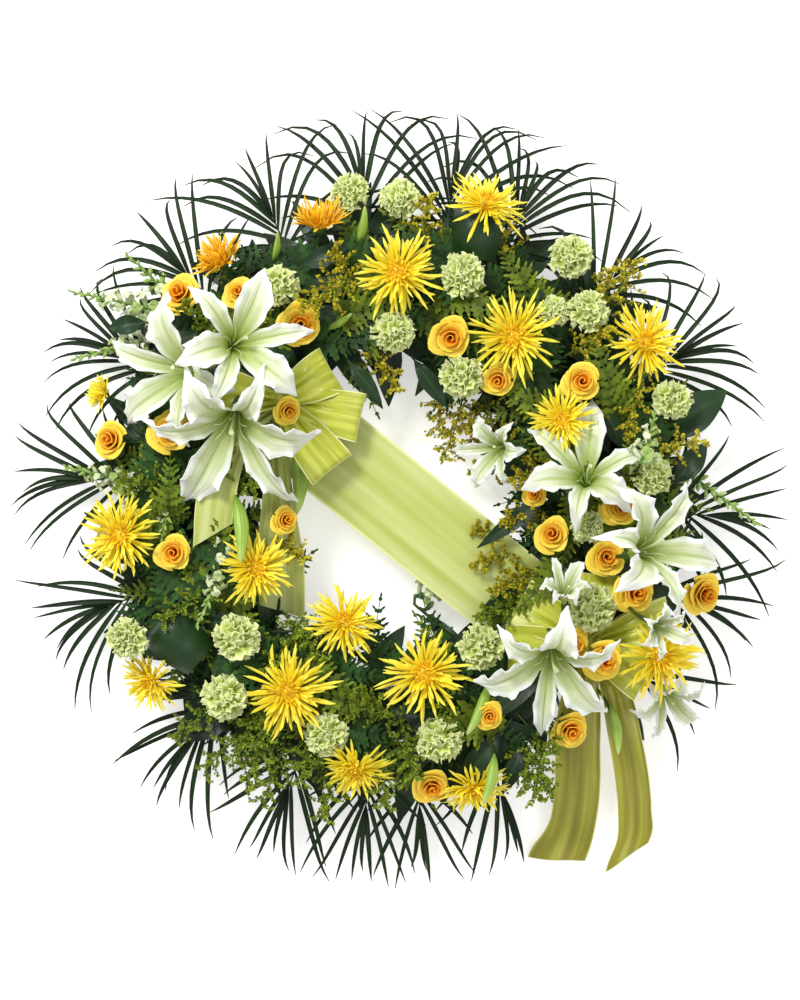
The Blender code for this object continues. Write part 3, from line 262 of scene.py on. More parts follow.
# Each tail's centre line, near its solid's, from under its knot to its cut end
TAIL_LEFT = (
    (236, -180, 84), (227, -222, 80), (222, -300, 68), (223, -350, 46), (221, -392, 24), (215, -428, 9),
    (206, -455, 5),
)
TAIL_RIGHT = (
    (238, -180, 86), (261, -222, 82), (281, -300, 68), (291, -350, 46), (296, -388, 24), (296, -422, 10),
    (288, -451, 6),
)
STREAMER = (
    (-146, 118, 92), (-148, 84, 83), (-148, 36, 81), (-147, -20, 76), (-146, -80, 71), (-146, -138, 67),
)
# The upper bow's second short end, which has no solid
SHORT_END = (
    (-150, 112, 96), (-176, 96, 104), (-200, 64, 116), (-216, 24, 124), (-222, -10, 122), (-225, -44, 116),
)
# Each clump of leaves: the bearings, in degrees, of its palm fronds, and then of its ferns
CLUMPS = {
    "greenery_outer_1": ((-3.0, -19.5), (-11.0,)),
    "greenery_outer_2": ((45.8, 26.9), ()),
    "greenery_outer_3": ((67.0, 80.0), ()),
    "greenery_outer_4": ((96.6, 114.0), ()),
    "greenery_outer_5": ((133.3, 152.4), (124.0,)),
    "greenery_outer_6": ((176.3, -159.7), ()),
    "greenery_outer_7": ((-130.5, -110.8), (-121.0,)),
    "greenery_outer_8": ((-96.0, -86.0), (-103.0,)),
    "greenery_outer_9": ((-70.6,), ()),
    "greenery_outer_10": ((-36.0,), (-27.0,)),
    "greenery_inner_1": ((), (-100.0, -76.0)),
    "greenery_inner_2": ((), (68.0,)),
    "greenery_inner_3": ((), (-148.0,)),
}
# The rib of a frond over the rim, and of one in the hole: (distance from the ring's middle, height)
PALM_RIB = ((0.312, 0.060), (0.332, 0.056), (0.350, 0.051), (0.367, 0.046), (0.384, 0.041))
OUTER_FERN = ((0.318, 0.078), (0.338, 0.082), (0.356, 0.082), (0.372, 0.078), (0.392, 0.070))
INNER_FERN = ((0.206, 0.060), (0.186, 0.058), (0.166, 0.056), (0.148, 0.054), (0.124, 0.051))
# How far above its solid a rolled leaf shows
ROLL_LIFT = 0.016
# Broad leaves: (clump, plan x, plan y, length, width, way it points, rolled)
BROAD_LEAVES = (
    ("greenery_outer_3", 96, 318, 78, 60, (0.1, 1.0), True),
    ("greenery_outer_7", -262, -176, 88, 62, (-0.8, 0.7), True),
    ("greenery_outer_7", -236, -272, 90, 46, (-0.9, -0.5), False),
    ("greenery_outer_2", 360, 104, 100, 50, (0.85, 0.55), False),
    ("greenery_outer_4", -110, 286, 80, 24, (0.9, -0.3), False),
    ("greenery_outer_9", 120, -300, 90, 26, (0.4, -0.9), False),
)
# The studio: where the camera stands over the floor, its lens, and (name, place, size, power) of each light
CAMERA_PLAN = (0.0024, -0.0012)
LENS = 88.5
SENSOR_WIDTH = 36
SKY_STRENGTH = 0.62
LIGHTS = (
    ("key", (-1.5, 1.9, 3.0), 0.9, 98),
    ("fill", (1.9, -0.8, 3.0), 2.0, 20),
    ("rim", (0.4, 2.6, 1.4), 1.6, 12),
)


def vec(*values):
    return np.array(values, float)


def heading(turn):
    """The level direction at this turn, in radians."""
    return vec(math.cos(turn), math.sin(turn), 0)


def unit(v):
    v = np.asarray(v, float)
    return v / np.maximum(np.linalg.norm(v, axis=-1, keepdims=True), 1e-12)


def flow(share, knots, values, level=False):
    """A smooth curve through values at knots, read at each share. level keeps its slopes to one."""
    share = np.asarray(share, float)
    knots = np.asarray(knots, float)
    values = np.asarray(values, float)
    slopes = np.gradient(values, knots, axis=0)
    if level:
        slopes = unit(slopes)
    k = np.clip(np.searchsorted(knots, share, side="right") - 1, 0, len(knots) - 2)
    width = knots[k + 1] - knots[k]
    t = (share - knots[k]) / width
    if values.ndim == 2:
        width = width[..., None]
        t = t[..., None]
    rise = values[k + 1] * (3 * t ** 2 - 2 * t ** 3) + values[k] * (1 - 3 * t ** 2 + 2 * t ** 3)
    return rise + width * (slopes[k] * (t - 2 * t ** 2 + t ** 3) + slopes[k + 1] * (t ** 3 - t ** 2))


def along_path(points, count):
    """count points evenly spaced along a smooth curve through points."""
    points = np.array([tuple(p) for p in points], float)
    if len(points) == 2:
        return points[0] + (points[1] - points[0]) * np.linspace(0, 1, count)[:, None]
    knots = np.concatenate(([0.0], np.cumsum(np.linalg.norm(np.diff(points, axis=0), axis=1))))
    fine = flow(np.linspace(0, knots[-1], 8 * count), knots, points, level=True)
    reach = np.concatenate(([0.0], np.cumsum(np.linalg.norm(np.diff(fine, axis=0), axis=1))))
    even = np.linspace(0, reach[-1], count)
    return np.stack([np.interp(even, reach, fine[:, k]) for k in range(3)], axis=1)


def at_share(path, share):
    """The point this share of the way along a path of evenly spaced points."""
    return np.array([np.interp(share, np.linspace(0, 1, len(path)), path[:, k]) for k in range(3)])


def ease(values, low, high):
    """0 up to low, 1 from high on, and a smooth rise between them."""
    t = np.clip((np.asarray(values, float) - low) / (high - low), 0, 1)
    return t * t * (3 - 2 * t)


@lru_cache(None)
def blade_faces(rows, cols):
    """The faces of a thin closed blade: two grids of points and the rim between them."""
    grid = np.arange(rows * cols).reshape(rows, cols)
    top = np.stack((grid[:-1, :-1], grid[1:, :-1], grid[1:, 1:], grid[:-1, 1:]), -1).reshape(-1, 4)
    start = np.concatenate((grid[:-1, 0], grid[-1, :-1], grid[:0:-1, -1], grid[0, :0:-1]))
    end = np.roll(start, -1)
    below = rows * cols
    rim = np.stack((end, start, start + below, end + below), -1)
    return np.vstack((top, top[:, ::-1] + below, rim))


@lru_cache(None)
def tube_faces(rows, sides):
    """The faces of a closed tube, as (quads, triangles of its two flat ends)."""
    grid = np.arange(rows * sides).reshape(rows, sides)
    turned = np.roll(grid, -1, axis=1)
    quads = np.stack((grid[:-1], turned[:-1], turned[1:], grid[1:]), -1).reshape(-1, 4)
    ends = []
    for k in range(1, sides - 1):
        ends.append((grid[0, 0], grid[0, k + 1], grid[0, k]))
        ends.append((grid[-1, 0], grid[-1, k], grid[-1, k + 1]))
    return quads, np.array(ends)


class Piece:
    """One piece in the making: its points, faces, paints, petal coordinates and tints."""

    def __init__(self, name):
        self.name = name
        self.points = []
        self.coords = []
        self.tints = []
        self.faces = []
        self.paints = []
        self.total = 0

    def add(self, points, faces, paint, coords, tint=0.5):
        points = np.asarray(points, float).reshape(-1, 3)
        self.points.append(points)
        self.coords.append(np.broadcast_to(coords, (len(points), 2)))
        self.tints.append(np.broadcast_to(tint, len(points)))
        if paint not in self.paints:
            self.paints.append(paint)
        for rows in faces:
            self.faces.append((rows + self.total, self.paints.index(paint)))
        self.total += len(points)

    def blade(self, grid, paint, tint=0.5, kind=None):
        """A thin closed blade whose middle surface is a grid of points, base to tip by side to side."""
        rows, cols = grid.shape[:2]
        normal = unit(np.cross(np.gradient(grid, axis=0), np.gradient(grid, axis=1)))
        v, u = np.meshgrid(np.linspace(0, 1, rows), np.linspace(0, 1, cols), indexing="ij")
        coords = np.stack((u, v), -1).reshape(-1, 2)
        thick = THICKNESS[kind or paint]
        both = np.concatenate((grid + normal * thick / 2, grid - normal * thick / 2)).reshape(-1, 3)
        self.add(both, [blade_faces(rows, cols)], paint, np.vstack((coords, coords)), tint)

    def tube(self, path, wide, paint, tint=0.5, sides=6, high=None, side=None):
        """A closed tube along path. wide and high are its half widths, and side is the wide way."""
        path = np.asarray(path, float)
        rows = len(path)
        way = unit(np.gradient(path, axis=0))
        if side is None:
            side = np.eye(3)[np.argmin(np.abs(way).max(axis=0))]
        over = unit(np.cross(way, side))
        across = np.cross(over, way)
        wide = np.broadcast_to(wide, rows)[:, None, None]
        high = wide if high is None else np.broadcast_to(high, rows)[:, None, None]
        turns = np.arange(sides) * math.tau / sides
        ring = across[:, None] * np.cos(turns)[None, :, None] * wide
        ring = ring + over[:, None] * np.sin(turns)[None, :, None] * high
        u = np.broadcast_to(np.abs(np.cos(turns / 2)), (rows, sides))
        v = np.broadcast_to(np.linspace(0, 1, rows)[:, None], (rows, sides))
        quads, ends = tube_faces(rows, sides)
        flip = quads[:, ::-1]
        coords = np.stack((u, v), -1).reshape(-1, 2)
        self.add((path[:, None] + ring).reshape(-1, 3), [flip, ends[:, ::-1]], paint, coords, tint)

    def stamp(self, shape, faces, paint, centres, axes, sizes, tints):
        """Many copies of a small closed form, each turned so that its Z lies along its axis."""
        axes = unit(axes)
        helper = np.where(np.abs(axes[:, 2:]) < 0.9, Z, vec(1, 0, 0))
        across = unit(np.cross(helper, axes))
        turned = np.stack((across, np.cross(axes, across), axes), axis=1)
        sizes = np.broadcast_to(sizes, len(centres))[:, None, None]
        placed = centres[:, None] + np.einsum("pk,nkc->npc", shape, turned) * sizes
        count = len(shape)
        shift = (np.arange(len(centres)) * count)[:, None, None]
        rows = [(f[None] + shift).reshape(-1, f.shape[1]) for f in faces]
        coords = np.stack((shape[:, 0] * 0.5 + 0.5, np.clip(shape[:, 2], 0, 1)), -1)
        coords = np.tile(coords, (len(centres), 1))
        self.add(placed, rows, paint, coords, np.repeat(np.broadcast_to(tints, len(centres)), count))

    def finish(self, slot, *nodes):
        """The piece as a mesh in the scene, riding on the wreath and standing for these nodes."""
        points = np.vstack(self.points).astype(np.float32)
        loops = np.concatenate([rows.ravel() for rows, _ in self.faces]).astype(np.int32)
        sizes = np.concatenate([np.full(len(rows), rows.shape[1]) for rows, _ in self.faces])
        paints = np.concatenate([np.full(len(rows), paint) for rows, paint in self.faces])
        mesh = bpy.data.meshes.new(self.name)
        mesh.vertices.add(len(points))
        mesh.vertices.foreach_set("co", points.ravel())
        mesh.loops.add(len(loops))
        mesh.polygons.add(len(sizes))
        mesh.polygons.foreach_set("loop_start", np.concatenate(([0], np.cumsum(sizes)[:-1])).astype(np.int32))
        mesh.polygons.foreach_set("vertices", loops)
        mesh.polygons.foreach_set("material_index", paints.astype(np.int32))
        coords = np.vstack(self.coords)[loops].astype(np.float32)
        mesh.uv_layers.new(name="petal").data.foreach_set("uv", coords.ravel())
        tints = np.concatenate(self.tints).astype(np.float32)
        mesh.attributes.new("tint", "FLOAT", "POINT").data.foreach_set("value", tints)
        mesh.update(calc_edges=True)
        mesh.shade_smooth()
        mesh.set_sharp_from_angle(angle=math.radians(55))
        for paint in self.paints:
            mesh.materials.append(material(paint))
        made = bpy.data.objects.new(self.name, mesh)
        bpy.context.scene.collection.objects.link(made)
        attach(made, "root")
        if nodes:
            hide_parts(*nodes)
        return made


# Where the solids are


def node_points(name):
    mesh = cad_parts[name].data
    flat = np.empty(len(mesh.vertices) * 3, np.float32)
    mesh.vertices.foreach_get("co", flat)
    return flat.reshape(-1, 3).astype(float)


def plan(x, y, z=0.0):
    return Vector((x * MM, y * MM, z))


def facing(head):
    """The way a bloom looks: out from the ring's core, or as its table entry says."""
    if len(head) > 3:
        return Vector((head[3][0], head[3][1], 1.0)).normalized()
    at = plan(head[0], head[1])
    lean = LEAN * math.atan2(at.length - RING_MID_R, MOUND_B)
    return (at.normalized() * math.sin(lean) + UP * math.cos(lean)).normalized()


def mound_height(reach):
    offset = np.minimum(np.abs(np.asarray(reach) - RING_MID_R), MOUND_A * 0.86)
    return CORE_Z + MOUND_B * np.sqrt(1 - (offset / MOUND_A) ** 2)


def local_frame(centre, axis):
    """A matrix whose Z is axis and whose origin is centre."""
    across = Vector((1.0, 0.0, 0.0))
    across = (across - axis * across.dot(axis)).normalized()
    rotation = Matrix((across, axis.cross(across), axis)).transposed().to_4x4()
    return Matrix.Translation(centre) @ rotation


def seat(points, head, pole):
    """A head's own frame, found from the point of its solid that lies this far up its axis."""
    axis = facing(head)
    at = plan(head[0], head[1])
    wanted = vec(at.x + axis.x * pole, at.y + axis.y * pole)
    near = points[np.linalg.norm(points[:, :2] - wanted, axis=1) < POLE_MATCH]
    if not len(near):
        raise RuntimeError(f"the solid has no head at {head[:2]}")
    return local_frame(Vector((at.x, at.y, near[:, 2].max() - axis.z * pole)), axis)


def rolled_seat(points, head, pole, radius):
    """A lily's own frame, turned as its solid's tepals are."""
    base = seat(points, head, pole)
    local = in_frame(points, np.array(base.inverted()))
    tips = local[np.abs(np.hypot(local[:, 0], local[:, 1]) - radius) < TIP_MATCH]
    tips = tips[np.abs(tips[:, 2] + 0.05 * radius) < TIP_MATCH]
    turn = math.atan2(tips[0][1], tips[0][0]) % math.radians(60) if len(tips) else 0.0
    return base @ Matrix.Rotation(turn, 4, "Z")


def tilted(matrix, degrees):
    """The same frame, turned about its origin so that its Z leans further over."""
    axis = matrix.to_3x3() @ UP
    turn = Matrix.Rotation(math.radians(degrees), 4, UP.cross(axis).normalized())
    place = Matrix.Translation(matrix.translation)
    return place @ turn @ place.inverted() @ matrix


def in_frame(points, matrix):
    matrix = np.array(matrix)
    return np.asarray(points) @ matrix[:3, :3].T + matrix[:3, 3]


def way_in_frame(way, matrix):
    return np.array(matrix)[:3, :3] @ np.asarray(way)


def root_of(points):
    """Where a node's stem stands, from the points at the foot of its hole."""
    low = points[np.abs(points[:, 2] - STEM_FOOT) < FOOT_MATCH]
    return Vector((low[:, 0].mean(), low[:, 1].mean(), 0.0))


def bezier(p0, p1, p2, p3, count):
    points = []
    for i in range(count):
        t = i / (count - 1)
        s = 1 - t
        points.append(p0 * s ** 3 + p1 * 3 * s * s * t + p2 * 3 * s * t * t + p3 * t ** 3)
    return points


def stem_path(base, axis, root):
    """A stem's path: out of the back of its head, down between the leaves, and into the foam."""
    fork = Vector((root.x, root.y, FORK_Z))
    drop = max(0.0, base.z - FORK_Z) * 0.55
    reach = min(0.03, (base - fork).length / 3)
    return bezier(base, base - axis * reach - UP * drop, fork + UP * 0.012, fork, 6)


def add_stem(piece, matrix, depth, root, thick=STEM_R):
    """A head's stem, down to the fork and on into the foam."""
    axis = matrix.to_3x3() @ UP
    path = stem_path(matrix.translation - axis * depth, axis, root)
    line = [path[0] + axis * 0.004] + path + [Vector((root.x, root.y, STEM_END))]
    piece.tube(along_path(line, 14), thick, "stem", 0.4, sides=6)


# Forms


def column(piece, matrix, size, heights, widths, paint, tint, sides):
    """A closed round body up a head's own Z. Its heights and half widths are shares of size."""
    line = np.array([(0, 0, height) for height in heights]) * size
    piece.tube(in_frame(line, matrix), vec(*widths) * size, paint, tint, sides=sides)


def lily(piece, matrix, radius, draw, shut=0.0):
    """A funnel of six tepals, three broad and three narrow, with ruffled edges and pointed tips."""
    rows, cols = 22, 13
    t = np.linspace(0, 1, rows)[:, None]
    s = np.linspace(-1, 1, cols)[None, :]
    tilt = np.array(matrix)[:3, 2]
    for k in (0, 2, 4, 1, 3, 5):
        broad = k % 2
        angle = math.tau * k / 6 + math.radians(draw.uniform(-5, 5))
        aim = way_in_frame(heading(angle), matrix)
        hang = float(aim[:2] @ tilt[:2])
        length = (1.02 + (0.50 if hang > 0 else 0.42) * hang) * draw.uniform(0.94, 1.05)
        curl = 0.05 + 0.16 * max(0.0, -hang) + draw.uniform(-0.03, 0.05)
        reach = flow(t, (0, 0.22, 0.5, 0.78, 1), (0.03, 0.20, 0.50, 0.80, 1.02)) * length * (1 - 0.42 * shut)
        height = flow(t, (0, 0.22, 0.5, 0.78, 1), (-0.47, -0.14, 0.09, 0.14 - curl * 0.5, 0.02 - 1.5 * curl))
        height = height + shut * 0.34 * ease(t, 0.15, 1.0) + 0.26 * max(0.0, hang) * t ** 2
        half = flow(t, (0, 0.15, 0.4, 0.6, 0.8, 0.93, 1), (0.035, 0.11, 0.215, 0.225, 0.135, 0.050, 0.004))
        half = half * (1.05 if broad else 0.66) * (1 - 0.25 * shut)
        phase = np.where(s > 0, draw.uniform(0, 6), draw.uniform(0, 6))
        edge = np.abs(s) ** 2.2 * ease(t, 0.22, 0.5) * (1 - ease(t, 0.86, 1.0))
        ruffle = edge * (0.050 * np.sin(t * 27 + phase) + 0.022 * np.sin(t * 51 + 2 * phase))
        bend = draw.uniform(-0.10, 0.10) * t ** 2
        side = s * half * (1 + 0.07 * np.sin(t * 24 + phase) * ease(t, 0.2, 0.5)) + bend
        cup = 0.10 * np.abs(s) ** 1.6 * (1 - ease(t, 0.45, 0.95)) - 0.045 * s ** 2 * ease(t, 0.6, 1.0)
        rib = -0.020 * np.exp(-(s / 0.13) ** 2) * (1 - ease(t, 0.7, 1.0))
        folds = -0.006 * np.cos(s * 13) * ease(t, 0.2, 0.5) * (1 - ease(t, 0.75, 1.0))
        up = height + cup * (1.0 if broad else 0.7) + ruffle + rib + folds - 0.014 * (1 - broad)
        twist = math.radians(draw.uniform(-14, 14)) * t
        up = up + s * half * np.sin(twist)
        out = np.broadcast_to(reach, side.shape)
        x = out * math.cos(angle) - side * math.sin(angle)
        y = out * math.sin(angle) + side * math.cos(angle)
        grid = np.stack((x, y, up), -1) * radius
        piece.blade(in_frame(grid, matrix), "lily_petal", draw.uniform(0, 1))
    column(piece, matrix, radius, (-0.62, -0.54, -0.46, -0.40), (0.035, 0.055, 0.062, 0.04), "stem", 0.7, 10)
    pistil = np.array([(0, 0, -0.44), (0.02, 0.01, -0.15), (0.05, 0.02, 0.10), (0.09, 0.02, 0.20)]) * radius
    wide = np.array([0.016] * 6 + [0.022, 0.034]) * radius
    piece.tube(in_frame(along_path(pistil, 8), matrix), wide, "pistil", 0.6)
    filament = ((0.03, -0.42), (0.08, -0.16), (0.16, 0.04), (0.22, 0.09))
    for k in range(6):
        way = heading(math.tau * (k + 0.5) / 6)
        line = [way * out + vec(0, 0, up) for out, up in filament]
        wide = np.linspace(0.009, 0.005, 7) * radius
        piece.tube(in_frame(along_path(line, 7) * radius, matrix), wide, "pistil", 0.3, sides=5)


def mum(piece, matrix, radius, cupped, skin, draw):
    """A spider mum: many long quilled rays in tiers round a heart of short curled ones.

    A tier is (how many rays, how far they rise in degrees, their length as a share of the radius).
    """
    tiers = ((24, -10, 1.12), (25, 3, 1.06), (23, 15, 0.99), (21, 28, 0.88), (19, 42, 0.72), (16, 56, 0.54))
    heart = 0.30 * radius
    for tier, (count, rise, share) in enumerate(tiers):
        for i in range(count):
            turn = math.tau * (i + 0.5 * (tier % 2)) / count + draw.uniform(-0.18, 0.18)
            lift = rise + draw.uniform(-11, 11) + (38 if cupped else 0)
            length = radius * share * draw.uniform(0.64, 1.08)
            start = heart * (0.62 - 0.08 * tier)
            quilled_ray(piece, matrix, start, turn, min(lift, 84), length, tier / 5, skin, draw)
    column(piece, matrix, radius, (-0.06, 0.04, 0.12, 0.17), (0.22, 0.24, 0.19, 0.07), "mum_heart", 0.5, 12)
    count = 38
    for i in range(count):
        share = math.sqrt((i + 0.5) / count)
        way = heading(i * GOLDEN_ANGLE)
        base = way * heart * 0.66 * share
        lean = unit(way * (0.85 * share - 0.15) + Z)
        height = radius * draw.uniform(0.24, 0.36) * (1 - 0.25 * share)
        tip = base + lean * height - way * heart * 0.20 * (1 - share)
        line = along_path([base, (base + tip) / 2 + vec(0, 0, 0.08 * radius), tip], 4)
        piece.tube(in_frame(line, matrix), vec(0.026, 0.036, 0.032, 0.006) * radius, "mum_heart",
                   draw.uniform(0, 1), sides=5, high=vec(0.016, 0.024, 0.018, 0.004) * radius)
    column(piece, matrix, radius, (-0.30, -0.24, -0.14, -0.02, 0.06), (0.04, 0.12, 0.20, 0.24, 0.12),
           "stem", 0.6, 12)


def quilled_ray(piece, matrix, start, turn, rise, length, share, skin, draw):
    """One narrow ray of a spider mum, spooned near its tip and curved as it likes."""
    angle = math.radians(rise)
    out = heading(turn)
    way = out * math.cos(angle) + vec(0, 0, math.sin(angle))
    sag = draw.uniform(-0.20, 0.02) * length
    hook = draw.uniform(-0.06, 0.26) * length
    sway = draw.normal(0, 0.11) * length
    side = vec(-out[1], out[0], 0)
    t = np.linspace(0, 1, 6)[:, None]
    run = length - start
    line = out * start + way * run * t + side * sway * t ** 2
    line = line + Z * (sag * t ** 2 + hook * t ** 4)
    line = line - out * np.maximum(0, hook) * t ** 4 * 0.7
    body = flow(t[:, 0], (0, 0.3, 0.70, 0.88, 1), (0.0010, 0.0012, 0.0018, 0.0015, 0.0003))
    wide = body * draw.uniform(0.85, 1.2) * (0.75 + 0.25 * length / 0.05)
    high = wide * np.linspace(0.8, 0.4, 6)
    tint = min(1, max(0, 0.5 + 0.3 * share + draw.uniform(-0.3, 0.25)))
    piece.tube(in_frame(line, matrix), wide, skin, tint, sides=5, high=high, side=way_in_frame(side, matrix))


def rose(piece, matrix, radius, draw):
    """Wrapped petals, tight and upright in the heart, broad and rolled back at the rim."""
    petals = 13
    rows, cols = 9, 9
    t = np.linspace(0, 1, rows)[:, None]
    s = np.linspace(-1, 1, cols)[None, :]
    shift = draw.uniform(-0.06, 0.06, 2)
    for k in range(petals):
        share = k / (petals - 1)
        turn = k * GOLDEN_ANGLE + draw.uniform(-0.25, 0.25)
        wide = math.radians(112 - 50 * share ** 0.5)
        rim = 0.10 + 0.92 * share ** 0.95 + draw.uniform(-0.03, 0.04)
        flare = 0.04 + 0.38 * share ** 0.8
        top = 0.50 - 0.52 * share ** 1.7 + draw.uniform(-0.04, 0.04)
        bowl = (rim - flare) * flow(t, (0, 0.25, 0.6, 1), (0.32, 0.78, 1.0, 0.92))
        point = 0.20 * share * np.exp(-(s / 0.30) ** 2)
        roll = flare * ease(t, 0.50, 1.0) ** 1.5 * (1.05 - 0.30 * s ** 2 + point)
        wave = 0.030 * np.sin(s * 4.5 + draw.uniform(0, 6)) * ease(t, 0.6, 1.0) * (0.3 + share)
        reach = bowl + roll + 0.05 * s * (1 - 0.55 * share) + wave
        edge = 1 - 0.24 * np.abs(s) ** 2.4
        height = -0.64 + (top + 0.64) * t * edge - 0.42 * flare * ease(t, 0.80, 1.0)
        angle = turn + s * wide * (0.35 + 0.65 * ease(t, 0.0, 0.45))
        x = reach * np.cos(angle) + shift[0] * (1 - share)
        y = reach * np.sin(angle) + shift[1] * (1 - share)
        grid = np.stack((x, y, height), -1) * radius
        tint = min(1, max(0, 1 - share * 1.1 + draw.uniform(-0.08, 0.08)))
        piece.blade(in_frame(grid, matrix), "rose_petal", tint)
    column(piece, matrix, radius, (-0.77, -0.72, -0.64, -0.56), (0.08, 0.18, 0.26, 0.20), "stem", 0.6, 10)
    sepal = ((0.2, -0.74), (0.55, -0.62), (0.90, -0.34))
    for k in range(5):
        way = heading(math.tau * k / 5 + 0.3)
        line = along_path([way * out + vec(0, 0, up) for out, up in sepal], 6)
        half = flow(np.linspace(0, 1, 6), (0, 0.4, 1), (0.10, 0.12, 0.01))
        grid = strip_grid(line * radius, half * radius, 3)
        piece.blade(in_frame(grid, matrix), "stem", 0.7)


def strip_grid(line, halves, cols, fold=0.0):
    """A grid of points along a line, as wide as halves says. fold raises its edges."""
    line = np.asarray(line, float)
    way = unit(np.gradient(line, axis=0))
    level = np.cross(Z, way)
    side = np.where(np.linalg.norm(level, axis=1, keepdims=True) > 1e-3, unit(level), vec(1, 0, 0))
    side = unit(side - way * (way * side).sum(axis=1, keepdims=True))
    over = np.cross(way, side)
    over = np.where(over[:, 2:] < 0, -over, over)
    s = np.linspace(-1, 1, cols)[None, :, None]
    halves = np.broadcast_to(halves, len(line))[:, None, None]
    return line[:, None] + side[:, None] * s * halves + over[:, None] * np.abs(s) * halves * fold


def carnation(piece, matrix, radius, draw):
    """A dense, uneven ball of fan petals with ruffled rims."""
    rows, cols = 5, 7
    count = 50
    t = np.linspace(0, 1, rows)[:, None]
    s = np.linspace(-1, 1, cols)[None, :]
    for i in range(count):
        share = (i + 0.5) / count
        polar_angle = math.acos(1 - 1.42 * share)
        turn = i * GOLDEN_ANGLE + draw.uniform(-0.2, 0.2)
        way = heading(turn)
        axis = way * math.sin(polar_angle) + vec(0, 0, math.cos(polar_angle))
        spin = draw.uniform(0, math.tau)
        helper = Z if abs(axis[2]) < 0.9 else vec(1, 0, 0)
        a = unit(np.cross(axis, helper))
        b = np.cross(axis, a)
        side = a * math.cos(spin) + b * math.sin(spin)
        over = np.cross(axis, side)
        reach = 0.30 + (0.66 + draw.uniform(-0.14, 0.13)) * t
        rim = 0.045 * np.sin(s * 9 + spin) * t ** 2
        width = (0.06 + 0.32 * t ** 1.3) * s
        wave = 0.12 * np.sin(s * draw.uniform(4.5, 7.5) + spin) * t ** 1.5
        curl = 0.12 * t ** 3 * draw.uniform(-1, 1)
        grid = axis * (reach + rim)[..., None] + side * width[..., None] + over * (wave + curl)[..., None]
        grid = grid * vec(1.02, 1.02, 0.92) * radius
        piece.blade(in_frame(grid, matrix), "carnation_petal", draw.uniform(0, 1))
    column(piece, matrix, radius, (-0.72, -0.55, -0.2, 0.2, 0.52), (0.14, 0.34, 0.56, 0.56, 0.2),
           "carnation_petal", 0.15, 12)


def bud(piece, matrix, length, draw):
    """A long closed bud with three grooves, slightly curved."""
    rows, sides = 16, 18
    t = np.linspace(0, 1, rows)
    half = flow(t, (0, 0.12, 0.4, 0.75, 0.95, 1), (0.012, 0.062, 0.105, 0.075, 0.030, 0.006)) * length
    line = np.stack((0.05 * length * np.sin(t * math.pi), 0 * t, (t - 0.5) * length), -1)
    turns = np.arange(sides) * math.tau / sides
    lobe = 1 + 0.09 * np.cos(3 * turns)[None, :] - 0.05 * (np.cos(6 * turns)[None, :] > 0.8)
    x = np.cos(turns)[None, :] * half[:, None] * lobe
    y = np.sin(turns)[None, :] * half[:, None] * lobe
    ring = np.stack((x, y, np.zeros((rows, sides))), -1)
    quads, ends = tube_faces(rows, sides)
    coords = np.stack((np.broadcast_to(turns / math.tau, (rows, sides)),
                       np.broadcast_to(t[:, None], (rows, sides))), -1).reshape(-1, 2)
    placed = in_frame((line[:, None] + ring).reshape(-1, 3), matrix)
    piece.add(placed, [quads, ends], "bud_skin", coords, draw.uniform(0.3, 0.7))


def spike(piece, matrix, length, open_share, draw):
    """A snapdragon stalk: open florets below, closed ones towards the tip."""
    line = np.array([(0, 0, -0.5), (0.02, 0, 0), (0, 0, 0.5)]) * length
    path = along_path(line, 8)
    piece.tube(in_frame(path, matrix), np.linspace(0.0022, 0.0009, 8), "spike_green", 0.4)
    count = max(14, round(length / 0.0040))
    for i in range(count):
        share = (i + 0.5) / count
        turn = i * GOLDEN_ANGLE + draw.uniform(-0.3, 0.3)
        size = (0.0200 - 0.0125 * share ** 0.9) * draw.uniform(0.80, 1.15)
        rise = math.radians(24 + 40 * share)
        out = heading(turn)
        way = out * math.cos(rise) + vec(0, 0, math.sin(rise))
        base = vec(0, 0, (share - 0.5) * length)
        floret(piece, matrix, base, way, out, size, share < open_share, draw)


def floret(piece, matrix, base, way, out, size, is_open, draw):
    """One snapdragon floret: a slim tube, with five ruffled lobes where it is open."""
    t = np.linspace(0, 1, 6)
    body = base + way * size * t[:, None]
    half = flow(t, (0, 0.25, 0.6, 1), (0.05, 0.14, 0.20, 0.04 if not is_open else 0.15)) * size
    tint = draw.uniform(0.35, 1) if is_open else draw.uniform(0, 0.6)
    piece.tube(in_frame(body, matrix), half, "spike_floret", tint, sides=7)
    if not is_open:
        return
    side = vec(-out[1], out[0], 0)
    up = np.cross(way, side)
    for angle in (-62, -8, 46, 108, 168):
        a = math.radians(angle + draw.uniform(-16, 16))
        spread = side * math.cos(a) + up * math.sin(a)
        knee = base + way * size * 0.88
        run = draw.uniform(0.36, 0.54)
        line = along_path([knee, knee + way * size * 0.24 + spread * size * 0.16,
                           knee + spread * size * run + way * size * draw.uniform(-0.05, 0.22)], 4)
        across = np.cross(way, spread)
        halves = np.array([0.10, 0.20, 0.24, 0.09])[:, None, None]
        grid = line[:, None] + across * np.linspace(-1, 1, 4)[None, :, None] * halves * size
        ripple = np.sin(np.arange(4) * 2.6 + angle)[None, :, None] * 0.09 * size
        grid = grid + way * ripple * np.linspace(0, 1, 4)[:, None, None]
        piece.blade(in_frame(grid, matrix), "spike_floret", min(1, tint + 0.1))


SEED_SHAPE = np.array([(0, 0, 0), (0.5, 0, 0.42), (-0.25, 0.43, 0.5), (-0.25, -0.43, 0.38), (0, 0, 1.0)])
SEED_FACES = (np.array([(0, 2, 1), (0, 3, 2), (0, 1, 3), (4, 1, 2), (4, 2, 3), (4, 3, 1)]),)


